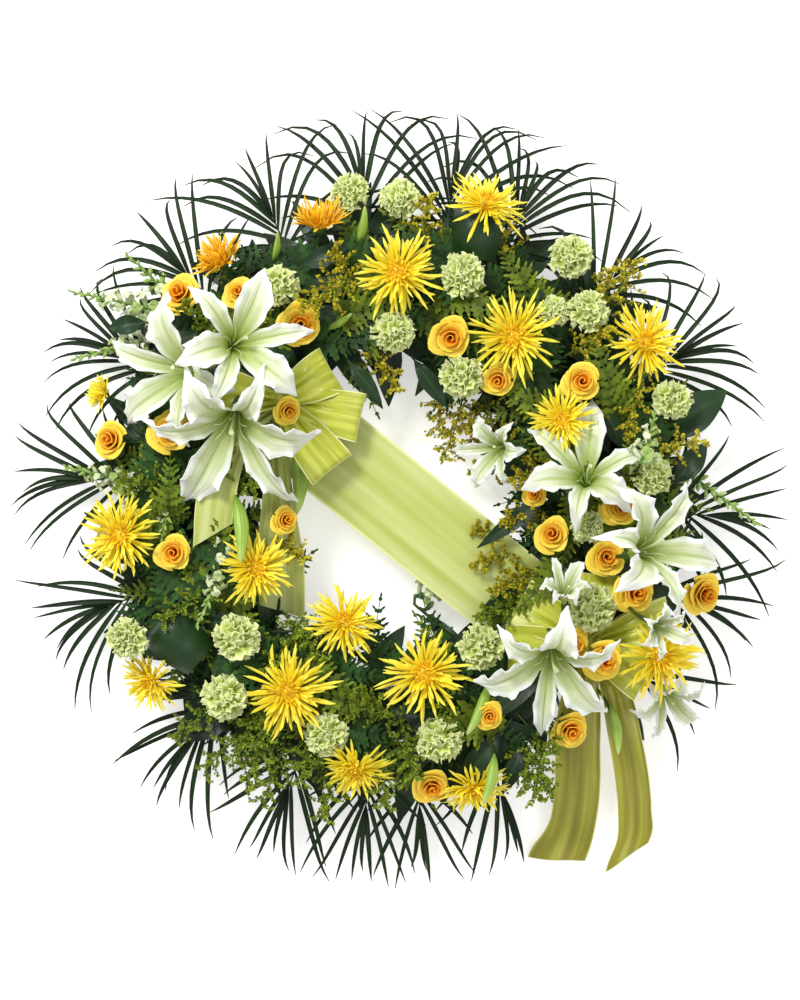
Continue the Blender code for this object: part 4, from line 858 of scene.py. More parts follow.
def goldenrod(piece, matrix, length, draw, skin, thick=True):
    """A plume of arched side sprays, each set with tiny florets."""
    spine = along_path(np.array([(0, 0, -0.5), (0.03, 0.02, 0.0), (0.0, 0.0, 0.5)]) * length, 10)
    piece.tube(in_frame(spine, matrix), np.linspace(0.0014, 0.0006, 10), "spray_stem", 0.3, sides=5)
    centres, axes, sizes = [], [], []
    branches = 17 if thick else 14
    for k in range(branches):
        share = 0.08 + 0.90 * k / (branches - 1)
        start = at_share(spine, share)
        turn = k * GOLDEN_ANGLE + draw.uniform(-0.3, 0.3)
        out = heading(turn)
        run = length * (0.44 - 0.30 * share) * draw.uniform(0.8, 1.15)
        path = along_path([start, start + out * run * 0.5 + vec(0, 0, run * 0.55),
                           start + out * run + vec(0, 0, run * 0.62)], 7)
        piece.tube(in_frame(path, matrix), np.linspace(0.0007, 0.0004, 7), "spray_stem", 0.3, sides=3)
        for t in np.linspace(0.05, 1.0, 16):
            spread = unit(vec(draw.uniform(-1, 1), draw.uniform(-1, 1), draw.uniform(-0.2, 1)))
            centres.append(at_share(path, t) + spread * 0.0014)
            axes.append(spread * 0.8 + vec(0, 0, 0.5) + out * 0.3)
            sizes.append(draw.uniform(0.0036, 0.0060))
    rotation = np.array(matrix)[:3, :3]
    piece.stamp(SEED_SHAPE, SEED_FACES, skin, in_frame(np.array(centres), matrix),
                np.array(axes) @ rotation.T, np.array(sizes), draw.uniform(0, 1, len(sizes)))


def rod_skin(x, y):
    """Goldenrod is still green at the bottom and the left of the wreath, and in bloom elsewhere."""
    return "young_goldenrod" if y < -100 or x < -190 else "goldenrod"


# Greenery


def polar(bearing, reach, z):
    angle = math.radians(bearing)
    return Vector((math.cos(angle) * reach, math.sin(angle) * reach, z))


@lru_cache(None)
def tail_plan():
    """Plan points along the lines of both ribbon tails."""
    lines = [[(x * MM, y * MM, 0) for x, y, _ in line] for line in (TAIL_LEFT, TAIL_RIGHT)]
    return np.vstack([along_path(line, 30)[:, :2] for line in lines])


def over_tail(points, room=0.036):
    """Whether any of these points lies over a ribbon tail, where the leaves part."""
    apart = np.linalg.norm(np.array([tuple(p)[:2] for p in points])[:, None] - tail_plan()[None], axis=2)
    return bool((apart < room).any())


def over_bow(points):
    """Whether any of these points lies over a bow, where the leaves part."""
    for knot, room in ((UPPER_KNOT, 0.062), (LOWER_KNOT, 0.084)):
        apart = np.linalg.norm(np.array([tuple(p)[:2] for p in points]) - np.array(knot)[:2], axis=1)
        if (apart < room).any():
            return True
    return False


def rib_line(root, bearing, stations):
    """A frond's rib, from the fork of its stem out through these stations."""
    return [Vector((root.x, root.y, FORK_Z))] + [polar(bearing, reach, z) for reach, z in stations]


def palm(piece, root, bearing, draw):
    """A palm frond: long folded leaflets that fan out from the rib and arch over."""
    rib = along_path(rib_line(root, bearing, PALM_RIB), 30)
    piece.tube(rib, np.linspace(0.0022, 0.0010, 30), "palm_rib", 0.4)
    out = unit((rib[-1] - rib[12]) * vec(1, 1, 0))
    side = np.cross(Z, out)
    pairs = int(draw.integers(6, 9))
    widest = draw.uniform(62, 80)
    grown = draw.uniform(0.90, 1.08)
    for k in range(pairs):
        share = k / (pairs - 1)
        start = rib[15 + round(14 * share)]
        for way in (1, -1):
            spread = math.radians(widest * (1 - share) + 9 * share + draw.uniform(-4, 4))
            aim = out * math.cos(spread) + side * way * math.sin(spread)
            room = (FROND_REACH - math.hypot(start[0], start[1])) / max(0.62, math.cos(spread))
            length = min(room * 1.20, 0.096 / max(0.3, math.sin(spread))) * grown * draw.uniform(0.84, 1.06)
            palm_leaflet(piece, start, aim, length * (1 + 0.16 * max(0.0, aim[1])), way, draw)
    palm_leaflet(piece, rib[-1], out, FROND_REACH - 0.386, 1, draw)


def palm_leaflet(piece, start, aim, length, way, draw):
    """One long leaflet. It bends the way it hung, and its tip hooks over."""
    t = np.linspace(0, 1, 10)[:, None]
    side = np.cross(Z, aim)
    hung = vec(0, -1, 0)
    across = hung - aim * float(aim @ hung)
    upward = max(0.0, float(-aim @ hung))
    droop = draw.uniform(0.10, 0.34)
    hook = draw.uniform(0.0, 0.22) * (0.4 + upward)
    line = start + aim * length * (t - 0.35 * hook * t ** 5)
    line = line + across * length * droop * t ** 2.6 + side * way * length * hook * t ** 5
    line = line + side * length * 0.03 * draw.uniform(-1, 1) * t ** 2
    line = line + hung * length * upward * hook * 0.5 * t ** 7
    lift = draw.uniform(0.03, 0.16)
    bend = draw.uniform(0.08, 0.26)
    line = line + Z * length * (lift * t * (1 - t) * 2 - bend * t ** 2.6)
    line[:, 2] = np.maximum(line[:, 2], 0.004)
    past = np.hypot(line[:, 0], line[:, 1]).max() - LEAF_REACH
    if past > 0:
        line = start + (line - start) * (1 - past / length)
    if over_tail(line):
        return
    half = flow(t[:, 0], (0, 0.12, 0.5, 0.85, 1), (0.0010, 0.0023, 0.0027, 0.0015, 0.0003))
    grid = strip_grid(line, half * draw.uniform(0.85, 1.12), 3, fold=0.5)
    piece.blade(grid, "palm_leaf", draw.uniform(0, 1))


def fern(piece, line, size, draw, skin="fern_leaf", width=0.40):
    """A leatherleaf frond: a rib with toothed leaflets on both sides, shorter towards the tip."""
    count = max(7, round(size / 0.0118))
    rib = along_path(line, 3 * count)
    piece.tube(rib, np.linspace(0.0012, 0.0005, len(rib)), skin, 0.2, sides=3)
    way = unit(np.gradient(rib, axis=0))
    for k in range(count):
        share = k / count
        at = 2 + k * 3 * (len(rib) - 4) // (3 * count)
        level = unit(np.cross(Z, way[at]))
        for turn in (1, -1):
            spread = math.radians(66 - 24 * share + draw.uniform(-6, 6))
            aim = way[at] * math.cos(spread) + level * turn * math.sin(spread)
            length = size * width * (1 - share) ** 0.75 * (0.75 + 0.25 * ease(share, 0, 0.2)) + 0.004
            toothed(piece, rib[at], aim, length * draw.uniform(0.85, 1.12), skin, draw)
    toothed(piece, rib[-2], way[-1], size * 0.10, skin, draw)


def toothed(piece, start, aim, length, skin, draw):
    """One leaflet with a toothed outline."""
    teeth = max(2, min(4, round(length / 0.0066)))
    rows = 2 * teeth + 1
    t = np.linspace(0, 1, rows)[:, None]
    sag = draw.uniform(0.0, 0.20)
    line = start + aim * length * t + Z * length * (0.12 * t - sag * t ** 2)
    envelope = flow(t[:, 0], (0, 0.2, 0.6, 1), (0.12, 0.24, 0.18, 0.015)) * length
    tooth = np.where(np.arange(rows) % 2 == 1, 1.0, 0.45)
    grid = strip_grid(line, np.maximum(envelope * tooth, 0.0003), 2)
    piece.blade(grid, skin, draw.uniform(0, 1))


def leaf(piece, line, width, draw, rows=9, cols=5, wave=0.05):
    """A plain pointed leaf with parallel veins and a gently waved edge."""
    path = along_path(line, rows)
    t = np.linspace(0, 1, rows)
    half = flow(t, (0, 0.15, 0.45, 0.8, 1), (0.05, 0.55, 1.0, 0.55, 0.02)) * width / 2
    grid = strip_grid(path, np.maximum(half, 0.0004), cols, fold=0.16)
    s = np.linspace(-1, 1, cols)[None, :]
    grid[..., 2] += np.sin(t[:, None] * 9 + draw.uniform(0, 6)) * s ** 2 * width * wave
    piece.blade(grid, "broad_leaf", draw.uniform(0, 1))


def rolled_leaf(piece, points, widths, draw):
    """A broad leaf rolled back on itself, as florists do, and arched from edge to edge."""
    path = along_path(points, 34)
    t = np.linspace(0, 1, 34)
    half = flow(t, np.linspace(0, 1, len(widths)), widths)[:, None, None] / 2
    way = unit(vec(points[2].x - points[0].x, points[2].y - points[0].y, 0))
    side = unit(np.cross(Z, way))
    s = np.linspace(-1, 1, 13)[None, :, None]
    grid = path[:, None] + side * s * half - Z * s ** 2 * half * 0.62
    piece.blade(grid, "broad_leaf", draw.uniform(0.5, 0.8), "rolled_leaf")


def broad_leaf(piece, entry, points, root, draw):
    """A broad leaf where its solid is, with its stalk."""
    _, x, y, length, width, way, rolled = entry
    out = Vector((way[0], way[1], 0.0)).normalized()
    side = Vector((-out.y, out.x, 0.0))
    length *= MM
    width *= MM
    shape = ((-0.5, -0.06), (-0.2, 0.02), (0.15, 0.05), (0.4, 0.0), (0.54, -0.06))
    widths = [width * s for s in (0.12, 0.9, 1.0, 0.55, 0.12)]
    if rolled:
        shape = ((-0.36, -0.06), (0.10, -0.16), (0.44, 0.02), (0.40, 0.36), (0.0, 0.46), (-0.34, 0.30))
        widths = [width * s for s in (0.12, 0.9, 1.0, 1.0, 1.0, 0.8)]
    best = None
    for lift in range(36):
        centre = plan(x, y, 0.076 + 0.004 * lift)
        line = [centre + out * length * a + UP * length * b for a, b in shape]
        wanted = [line[2] + side * width / 2, line[2] - side * width / 2, line[-1] + side * widths[-1] / 2]
        miss = sum(np.linalg.norm(points - w, axis=1).min() for w in wanted)
        if best is None or miss < best[0]:
            best = (miss, line)
    line = best[1]
    base = line[0].lerp(line[1], 0.25)
    path = stem_path(base, ((line[1] - line[0]).normalized() + UP).normalized(), root)
    piece.tube(along_path(path, 10), LEAF_STEM_R, "stem", 0.3)
    if rolled:
        rolled_leaf(piece, [p + UP * ROLL_LIFT for p in line], widths, draw)
    else:
        leaf(piece, line, width, draw, cols=9, wave=0.03, rows=18)


# Materials


@lru_cache(None)
def material(paint):
    """The material for a paint, made the first time that a piece asks for it."""
    return PAINTS[paint]()


def new_group(name, inputs, outputs):
    """A node group with these named inputs, each (name, socket type, default), and outputs."""
    tree = bpy.data.node_groups.new(name, "ShaderNodeTree")
    for label, kind, value in inputs:
        socket = tree.interface.new_socket(label, in_out="INPUT", socket_type=f"NodeSocket{kind}")
        socket.default_value = value
    for label, kind in outputs:
        tree.interface.new_socket(label, in_out="OUTPUT", socket_type=f"NodeSocket{kind}")
    return tree, tree.nodes.new("NodeGroupInput").outputs, tree.nodes.new("NodeGroupOutput").inputs


def node(tree, kind, settings=(), **inputs):
    """Adds a node. Each input is a value or a link, under its label or, as n0, under its number."""
    made = tree.nodes.new(f"ShaderNode{kind}")
    for key, value in dict(settings).items():
        setattr(made, key, value)
    for key, value in inputs.items():
        socket = made.inputs[int(key[1:]) if key[1:].isdigit() else key.replace("_", " ")]
        if isinstance(value, bpy.types.NodeSocket):
            tree.links.new(value, socket)
        else:
            socket.default_value = value
    return made


def math_node(tree, operation, a, b=0.0):
    return node(tree, "Math", {"operation": operation}, n0=a, n1=b).outputs[0]


def product(tree, a, b):
    return math_node(tree, "MULTIPLY", a, b)


def inverse(tree, value):
    return math_node(tree, "SUBTRACT", 1.0, value)


def off_middle(tree, value):
    """How far a value is from one half."""
    return math_node(tree, "ABSOLUTE", math_node(tree, "SUBTRACT", value, 0.5))


def mix_colour(tree, share, a, b, blend="MIX"):
    return node(tree, "Mix", {"data_type": "RGBA", "blend_type": blend}, n0=share, n6=a, n7=b).outputs[2]


def smooth_range(tree, value, low, high):
    smooth = {"interpolation_type": "SMOOTHSTEP"}
    return node(tree, "MapRange", smooth, Value=value, From_Min=low, From_Max=high).outputs[0]


def petal_map(tree):
    return node(tree, "UVMap", {"uv_map": "petal"}).outputs[0]


def petal_place(tree):
    """How far across its petal a point is, and how far from base to tip, both from 0 to 1."""
    place = node(tree, "SeparateXYZ", n0=petal_map(tree))
    return place.outputs[0], place.outputs[1]


def petal_tint(tree):
    return node(tree, "Attribute", {"attribute_name": "tint"}).outputs["Fac"]


def petal_noise(tree, stretch, scale, detail):
    """Noise over a petal, drawn out along it."""
    place = node(tree, "VectorMath", {"operation": "MULTIPLY"}, n0=petal_map(tree), n1=stretch).outputs[0]
    made = node(tree, "TexNoise", {"noise_dimensions": "2D"}, Vector=place, Scale=scale, Detail=detail)
    return made.outputs[0]


@lru_cache(None)
def bloom_tone():
    """A petal's colour from its base to its tip, with a rib, streaks and a tint of its own."""
    white = (1, 1, 1, 1)
    tree, given, result = new_group(
        "Bloom Tone",
        (("Base", "Color", white), ("Middle", "Color", white), ("Tip", "Color", white),
         ("Rib", "Color", white), ("Rib Strength", "Float", 0.0), ("Streaks", "Float", 18.0),
         ("Streak Strength", "Float", 0.2), ("Base Reach", "Float", 0.35), ("Tip Reach", "Float", 0.7),
         ("Variation", "Float", 0.15)),
        (("Color", "Color"), ("Height", "Float")),
    )
    across, along = petal_place(tree)
    low = smooth_range(tree, along, 0.0, given["Base Reach"])
    high = smooth_range(tree, along, given["Tip Reach"], 1.0)
    tone = mix_colour(tree, high, mix_colour(tree, low, given["Base"], given["Middle"]), given["Tip"])
    rib = inverse(tree, smooth_range(tree, off_middle(tree, across), 0.01, 0.11))
    rib = product(tree, rib, inverse(tree, smooth_range(tree, along, 0.45, 0.95)))
    tone = mix_colour(tree, product(tree, rib, given["Rib Strength"]), tone, given["Rib"])
    turns = product(tree, across, product(tree, given["Streaks"], math.tau))
    mottle = product(tree, petal_noise(tree, (14, 1.6, 1), 2.0, 3.0), 5.0)
    wave = math_node(tree, "SINE", math_node(tree, "ADD", turns, mottle))
    streak = product(tree, math_node(tree, "ADD", wave, 1.0), 0.5)
    shade = inverse(tree, product(tree, streak, given["Streak Strength"]))
    vary = product(tree, math_node(tree, "SUBTRACT", petal_tint(tree), 0.5), given["Variation"])
    shade = math_node(tree, "ADD", shade, vary)
    light = node(tree, "CombineXYZ", n0=shade, n1=shade, n2=shade).outputs[0]
    tree.links.new(mix_colour(tree, 1.0, tone, light, "MULTIPLY"), result["Color"])
    tree.links.new(math_node(tree, "ADD", streak, product(tree, rib, -0.8)), result["Height"])
    return tree


@lru_cache(None)
def fine_grain():
    """Fine mottling in the object's own space."""
    tree, given, result = new_group(
        "Fine Grain", (("Scale", "Float", 400.0), ("Detail", "Float", 4.0)), (("Mask", "Float"),))
    place = node(tree, "TexCoord").outputs["Object"]
    noise = node(tree, "TexNoise", (), Vector=place, Scale=given["Scale"], Detail=given["Detail"])
    tree.links.new(smooth_range(tree, noise.outputs[0], 0.3, 0.7), result["Mask"])
    return tree


@lru_cache(None)
def satin_weave():
    """Satin's fine cross ribs and its slow lengthwise change of tone."""
    tree, given, result = new_group(
        "Satin Weave", (("Threads", "Float", 2600.0), ("Drift", "Float", 9.0)),
        (("Height", "Float"), ("Tone", "Float")))
    along = petal_place(tree)[1]
    tree.links.new(math_node(tree, "SINE", product(tree, along, given["Threads"])), result["Height"])
    tree.links.new(petal_noise(tree, (1.0, 0.22, 1), given["Drift"], 2.0), result["Tone"])
    return tree


def add_group(tree, group, **inputs):
    made = tree.nodes.new("ShaderNodeGroup")
    made.node_tree = group
    for key, value in inputs.items():
        made.inputs[key.replace("_", " ")].default_value = value
    return made.outputs


def blank(name, roughness, **values):
    """A new material, with its tree and its shader."""
    made = bpy.data.materials.new(name)
    made.use_nodes = True
    tree = made.node_tree
    shader = tree.nodes["Principled BSDF"]
    shader.inputs["Roughness"].default_value = roughness
    for key, value in values.items():
        shader.inputs[key.replace("_", " ")].default_value = value
    return made, tree, shader


def dress(tree, shader, tone, height, strength, distance=0.001):
    """Gives a shader its colour, and a bump where it has one."""
    tree.links.new(tone, shader.inputs["Base Color"])
    if strength:
        bump = node(tree, "Bump", (), Strength=strength, Distance=distance, Height=height)
        tree.links.new(bump.outputs[0], shader.inputs["Normal"])


def petal_tone(tree, base, middle, tip, rib, **tone):
    """The bloom tone in these colours."""
    colours = {"Base": base, "Middle": middle, "Tip": tip, "Rib": rib}
    return add_group(tree, bloom_tone(), **{key: (*value, 1) for key, value in colours.items()}, **tone)


def petal(name, base, middle, tip, roughness=0.5, rib=None, relief=0.25, gloss=0.5, **tone):
    """A plain petal or leaf, coloured from base to tip."""
    made, tree, shader = blank(name, roughness, Specular_IOR_Level=gloss)
    tone.setdefault("Streaks", 14.0)
    group = petal_tone(tree, base, middle, tip, rib or middle, **tone)
    dress(tree, shader, group["Color"], group["Height"], relief, 0.0006)
    return made


def lily_petal():
    """White at the margin and the tip, green down the middle and in the throat."""
    made, tree, shader = blank("Lily Petal", 0.45, Subsurface_Weight=0.10, Subsurface_Scale=0.004)
    group = petal_tone(tree, (0.29, 0.40, 0.018), (0.65, 0.71, 0.42), (0.80, 0.84, 0.72), (0.46, 0.58, 0.18),
                       Rib_Strength=0.75, Streaks=9.0, Streak_Strength=0.07, Base_Reach=0.60, Tip_Reach=0.34,
                       Variation=0.08)
    across, along = petal_place(tree)
    margin = product(tree, smooth_range(tree, off_middle(tree, across), 0.27, 0.43),
                     smooth_range(tree, along, 0.12, 0.5))
    margin = math_node(tree, "MAXIMUM", margin, smooth_range(tree, along, 0.74, 0.98))
    tone = mix_colour(tree, margin, group["Color"], (0.90, 0.92, 0.88, 1))
    dress(tree, shader, tone, group["Height"], 0.35, 0.0007)
    return made


def rose_petal():
    """Orange in the heart of the rose, where the tint is high, and yellow outside."""
    made, tree, shader = blank("Rose Petal", 0.5, Specular_IOR_Level=0.35)
    plain = {"Streak_Strength": 0.05, "Streaks": 8.0, "Variation": 0.0}
    outer = petal_tone(tree, (0.86, 0.36, 0.004), (0.94, 0.54, 0.010), (0.98, 0.78, 0.09), (0.92, 0.5, 0.02),
                       Base_Reach=0.5, Tip_Reach=0.55, **plain)
    inner = petal_tone(tree, (0.70, 0.11, 0.002), (0.84, 0.20, 0.003), (0.92, 0.50, 0.02), (0.84, 0.2, 0.01),
                       Base_Reach=0.6, Tip_Reach=0.72, **plain)
    tone = mix_colour(tree, smooth_range(tree, petal_tint(tree), 0.15, 0.9), outer["Color"], inner["Color"])
    dress(tree, shader, tone, outer["Height"], 0.15, 0.0005)
    return made


def spike_floret():
    """Green where a floret is closed, and nearly white where its tint says that it is open."""
    made, tree, shader = blank("Snapdragon Floret", 0.5, Specular_IOR_Level=0.35)
    group = petal_tone(tree, (0.18, 0.34, 0.04), (0.34, 0.50, 0.11), (0.52, 0.64, 0.22), (0.3, 0.5, 0.1),
                       Streak_Strength=0.1, Streaks=5.0, Variation=0.2)
    open_share = smooth_range(tree, petal_tint(tree), 0.4, 1.0)
    tone = mix_colour(tree, open_share, group["Color"], (0.74, 0.80, 0.52, 1))
    dress(tree, shader, tone, group["Height"], 0.2, 0.0005)
    return made


def satin(name, deep, pale, edge, fold_highlight=0.0, drift=9.0):
    """Satin with painted highlights in its edge colour: a thin line along each hem and, on folded loops, a
    line across its middle where the fold catches the light.
    """
    made, tree, shader = blank(name, 0.30, Sheen_Weight=0.2, Sheen_Roughness=0.4, Anisotropic=0.5,
                               Specular_IOR_Level=0.6)
    weave = add_group(tree, satin_weave(), Drift=drift)
    across, along = petal_place(tree)
    # Painted highlights: the hems, and the middle where a loop is folded, catch the light in the edge colour.
    hem_highlight = smooth_range(tree, off_middle(tree, across), 0.468, 0.482)
    fold = product(tree, inverse(tree, smooth_range(tree, off_middle(tree, along), 0.008, 0.030)), fold_highlight)
    tone = mix_colour(tree, smooth_range(tree, weave["Tone"], 0.35, 0.68), (*deep, 1), (*pale, 1))
    tone = mix_colour(tree, math_node(tree, "MAXIMUM", hem_highlight, fold), tone, (*edge, 1))
    dress(tree, shader, tone, weave["Height"], 0.08, 0.0003)
    return made


def grain(name, roughness, scale, detail, dark, light, relief=0.0, depth=0.001, glow=0.0):
    """A plain surface, mottled between two colours, that may glow in them."""
    made, tree, shader = blank(name, roughness, Emission_Strength=glow)
    mask = add_group(tree, fine_grain(), Scale=scale, Detail=detail)["Mask"]
    tone = mix_colour(tree, mask, (*dark, 1), (*light, 1))
    dress(tree, shader, tone, mask, relief, depth)
    if glow:
        tree.links.new(tone, shader.inputs["Emission Color"])
    return made


# What makes the material for each paint
PAINTS = {
    "lily_petal": lily_petal,
    "rose_petal": rose_petal,
    "spike_floret": spike_floret,
    "pistil": partial(
        petal, "Pistil", (0.45, 0.60, 0.16), (0.62, 0.74, 0.34), (0.70, 0.78, 0.45), 0.4),
    "mum_ray": partial(
        petal, "Mum Ray", (0.88, 0.52, 0.004), (0.95, 0.74, 0.008), (0.97, 0.87, 0.08),
        Streak_Strength=0.10, Streaks=4.0, Base_Reach=0.40, Tip_Reach=0.50, Variation=0.30),
    "mum_ray_warm": partial(
        petal, "Orange Mum Ray", (0.80, 0.28, 0.003), (0.92, 0.46, 0.005), (0.96, 0.68, 0.03),
        Streak_Strength=0.10, Streaks=4.0, Base_Reach=0.45, Tip_Reach=0.55, Variation=0.30),
    "mum_heart": partial(
        petal, "Mum Heart", (0.66, 0.34, 0.003), (0.88, 0.52, 0.004), (0.94, 0.68, 0.02), 0.55,
        Streak_Strength=0.08, Streaks=3.0, Variation=0.35),
    "carnation_petal": partial(
        petal, "Carnation Petal", (0.34, 0.46, 0.05), (0.58, 0.69, 0.16), (0.83, 0.88, 0.45), 0.6,
        Streak_Strength=0.08, Streaks=9.0, Base_Reach=0.75, Tip_Reach=0.62, Variation=0.22),
    "stem": partial(
        petal, "Stem", (0.025, 0.070, 0.008), (0.035, 0.095, 0.010), (0.05, 0.12, 0.015),
        Streak_Strength=0.2, Streaks=3.0, Variation=0.3),
    "bud_skin": partial(
        petal, "Bud Skin", (0.16, 0.34, 0.03), (0.34, 0.52, 0.07), (0.50, 0.64, 0.16), 0.38,
        relief=0.35, Streak_Strength=0.16, Streaks=12.0, Variation=0.2),
    "spike_green": partial(
        petal, "Snapdragon Stalk", (0.12, 0.28, 0.04), (0.20, 0.38, 0.07), (0.30, 0.50, 0.10)),
    "goldenrod": partial(
        petal, "Goldenrod Floret", (0.18, 0.19, 0.008), (0.52, 0.45, 0.010), (0.80, 0.66, 0.02), 0.65,
        Streaks=2.0, Variation=0.7),
    "young_goldenrod": partial(
        petal, "Green Goldenrod", (0.07, 0.13, 0.006), (0.22, 0.31, 0.010), (0.46, 0.52, 0.02), 0.65,
        Streaks=2.0, Variation=0.7),
    "spray_stem": partial(
        petal, "Spray Stem", (0.08, 0.15, 0.012), (0.12, 0.20, 0.016), (0.20, 0.26, 0.02), 0.6),
    "palm_leaf": partial(
        petal, "Palm Leaf", (0.007, 0.022, 0.005), (0.009, 0.028, 0.006), (0.018, 0.038, 0.008), 0.42,
        (0.03, 0.07, 0.015), 0.3, 0.22, Rib_Strength=0.5, Streak_Strength=0.25, Streaks=7.0, Variation=0.6),
    "palm_rib": partial(
        petal, "Palm Rib", (0.03, 0.065, 0.012), (0.03, 0.07, 0.014), (0.03, 0.06, 0.012), 0.45),
    "fern_leaf": partial(
        petal, "Fern Leaf", (0.012, 0.045, 0.006), (0.020, 0.070, 0.008), (0.045, 0.115, 0.012), 0.5,
        (0.05, 0.12, 0.02), 0.25, 0.22, Rib_Strength=0.6, Streak_Strength=0.2, Streaks=5.0, Variation=0.8),
    "light_fern": partial(
        petal, "Light Fern", (0.05, 0.10, 0.006), (0.13, 0.19, 0.008), (0.28, 0.34, 0.014), 0.55,
        (0.2, 0.28, 0.03), 0.25, 0.22, Rib_Strength=0.5, Streak_Strength=0.2, Streaks=5.0, Variation=0.7),
    "broad_leaf": partial(
        petal, "Broad Leaf", (0.007, 0.026, 0.006), (0.010, 0.038, 0.008), (0.014, 0.048, 0.010), 0.30,
        (0.03, 0.08, 0.02), 0.3, 0.35, Rib_Strength=0.7, Streak_Strength=0.30, Streaks=22.0, Variation=0.6),
    # Each satin's last colour is a painted highlight along its hems, and across the middle of the bow's
    # folded loops.
    "sash_satin": partial(
        satin, "Sash Satin", (0.46, 0.51, 0.10), (0.62, 0.67, 0.26), (0.72, 0.76, 0.30), drift=3.6),
    "bow_satin": partial(
        satin, "Bow Satin", (0.44, 0.48, 0.024), (0.62, 0.66, 0.075), (0.85, 0.87, 0.38), fold_highlight=0.9),
    "tail_satin": partial(
        satin, "Tail Satin", (0.24, 0.215, 0.008), (0.46, 0.45, 0.045), (0.50, 0.48, 0.05), drift=3.0),
    "foam_cells": partial(
        grain, "Wet Foam", 0.95, 420.0, 5.0, (0.012, 0.045, 0.014), (0.03, 0.10, 0.035), 0.6),
    "tray_plastic": partial(
        grain, "Tray Plastic", 0.42, 160.0, 3.0, (0.010, 0.030, 0.014), (0.014, 0.038, 0.018), 0.08, 0.0004),
    "pick_wood": partial(
        grain, "Pick Wood", 0.7, 900.0, 2.0, (0.06, 0.13, 0.03), (0.10, 0.20, 0.05)),
}


# Ribbons


def ribbon(name, line, width, side, paint, nodes=(), rests_on=(), held="gathered", rows=40, cols=17,
           pinch_at=(0, 1), pinch=(1, 1), wave=0.0, crown=0.0, skew=0.0, skew_from=0.85, flick=0.0):
    """A satin ribbon along a line.

    pinch gathers it to these shares of its width at pinch_at, in pleats. wave and crown bend it from edge to
    edge, skew cuts its end slantwise, and flick draws one corner of its end to the side.
    """
    path = along_path(line, rows)
    t = np.linspace(0, 1, rows)
    across = np.broadcast_to(np.asarray(side, float), (rows, 3))
    way = unit(np.gradient(path, axis=0))
    across = unit(across - way * (way * across).sum(axis=1, keepdims=True))
    over = np.cross(way, across)
    s = np.linspace(-1, 1, cols)
    share = flow(t, pinch_at, pinch)
    half = width / 2 * share
    slack = np.sqrt(np.maximum(1.0 - share ** 2, 0.0)) * width * 0.075
    pleats = np.sin(s * math.pi * 3.5)[None, :] * slack[:, None]
    waves = wave * np.sin(s * 4.2 + 0.7)[None, :] * np.sin(t * 5 + 0.5)[:, None]
    arch = crown * (1 - s[None, :] ** 2)
    slant = skew * ease(t, skew_from, 1.0)[:, None] * s[None, :] * half[:, None]
    drawn = flick * ease(t, 0.76, 1.0)[:, None] * np.maximum(-s, 0)[None, :] ** 2
    grid = path[:, None] + across[:, None] * (s[None, :] * half[:, None] - drawn)[..., None]
    grid = grid + over[:, None] * (pleats + waves + arch)[..., None] + way[:, None] * slant[..., None]
    piece = Piece(name)
    piece.blade(grid, paint)
    made = piece.finish("ribbon", *nodes)
    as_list(rests_on)


def sash_line():
    """The sash's centre line: flat on the foam at both ends, and nearly level over the hole."""
    along = Vector((math.cos(SASH_BEARING), math.sin(SASH_BEARING), 0.0))
    across = Vector((-along.y, along.x, 0.0))
    seat_z = FOAM_TOP + GAP + RIBBON_T
    points = []
    for share in (-1.0, -0.95, -0.86, -0.74, -0.5, -0.17, 0.17, 0.5, 0.74, 0.86, 0.95, 1.0):
        climb = float(ease(0.95 - abs(share), 0.0, 0.21))
        sag = SASH_SAG * max(0.0, 1 - (share / 0.74) ** 2)
        height = seat_z + (SASH_TOP - seat_z) * climb - sag
        points.append(along * SASH_HALF * share + across * SASH_OFFSET + UP * height)
    return points, across


def loop_line(knot, bearing, length, lift):
    """One loop of a bow: out along its lower arm, round, and back over it."""
    out = polar(bearing, 1.0, 0.0)
    shape = ((0.02, 0.1), (0.36, -0.14), (0.80, -0.06), (1.0, 0.42), (0.80, 0.94), (0.36, 0.88), (0.02, 0.5))
    return [knot + out * length * MM * a + UP * lift * MM * b for a, b in shape], Vector((-out.y, out.x, 0.0))


def bow(name, knot, loops, node_name):
    """A bow's loops, with the band round its knot and the pick that it is wired to."""
    root = root_of(node_points(node_name))
    for number, (bearing, length, lift) in enumerate(loops):
        line, side = loop_line(knot + UP * 0.0024 * (number - 2), bearing, length, lift)
        ribbon(f"{name}_loop_{number + 1}", line, LOOP_WIDTH, side, "bow_satin", crown=0.0015,
               pinch_at=(0, 0.16, 0.34, 0.66, 0.84, 1), pinch=(0.30, 0.72, 0.98, 0.98, 0.72, 0.30),
               rests_on=(node_name,), nodes=() if number else (node_name,))
    way = heading(0.8)
    band = []
    for turn in np.linspace(0, math.tau, 15):
        band.append(np.array(knot) + way * 0.013 * math.cos(turn) + Z * (0.003 + 0.0125 * math.sin(turn)))
    ribbon(f"{name}_knot", band, 0.024, np.cross(Z, way), "bow_satin", rows=30, cols=9, held="stretched",
           rests_on=(node_name,))
    pick = Piece(f"{name}_pick")
    foot = [(root.x, root.y, z) for z in (FORK_Z, STEM_END)]
    pick.tube(along_path([knot, *foot], 10), PICK_R, "pick_wood")
    pick.finish("ribbon")


def tail(name, line, share, paint, node_name, **shape):
    """A ribbon end that hangs from a bow. share is its width as a share of TAIL_WIDTH."""
    points = [plan(x, y, z * MM) for x, y, z in line]
    ribbon(name, points, TAIL_WIDTH * share, (1, 0, 0), paint, rests_on=(node_name,), **shape)


# Operators, one for each group of like pieces


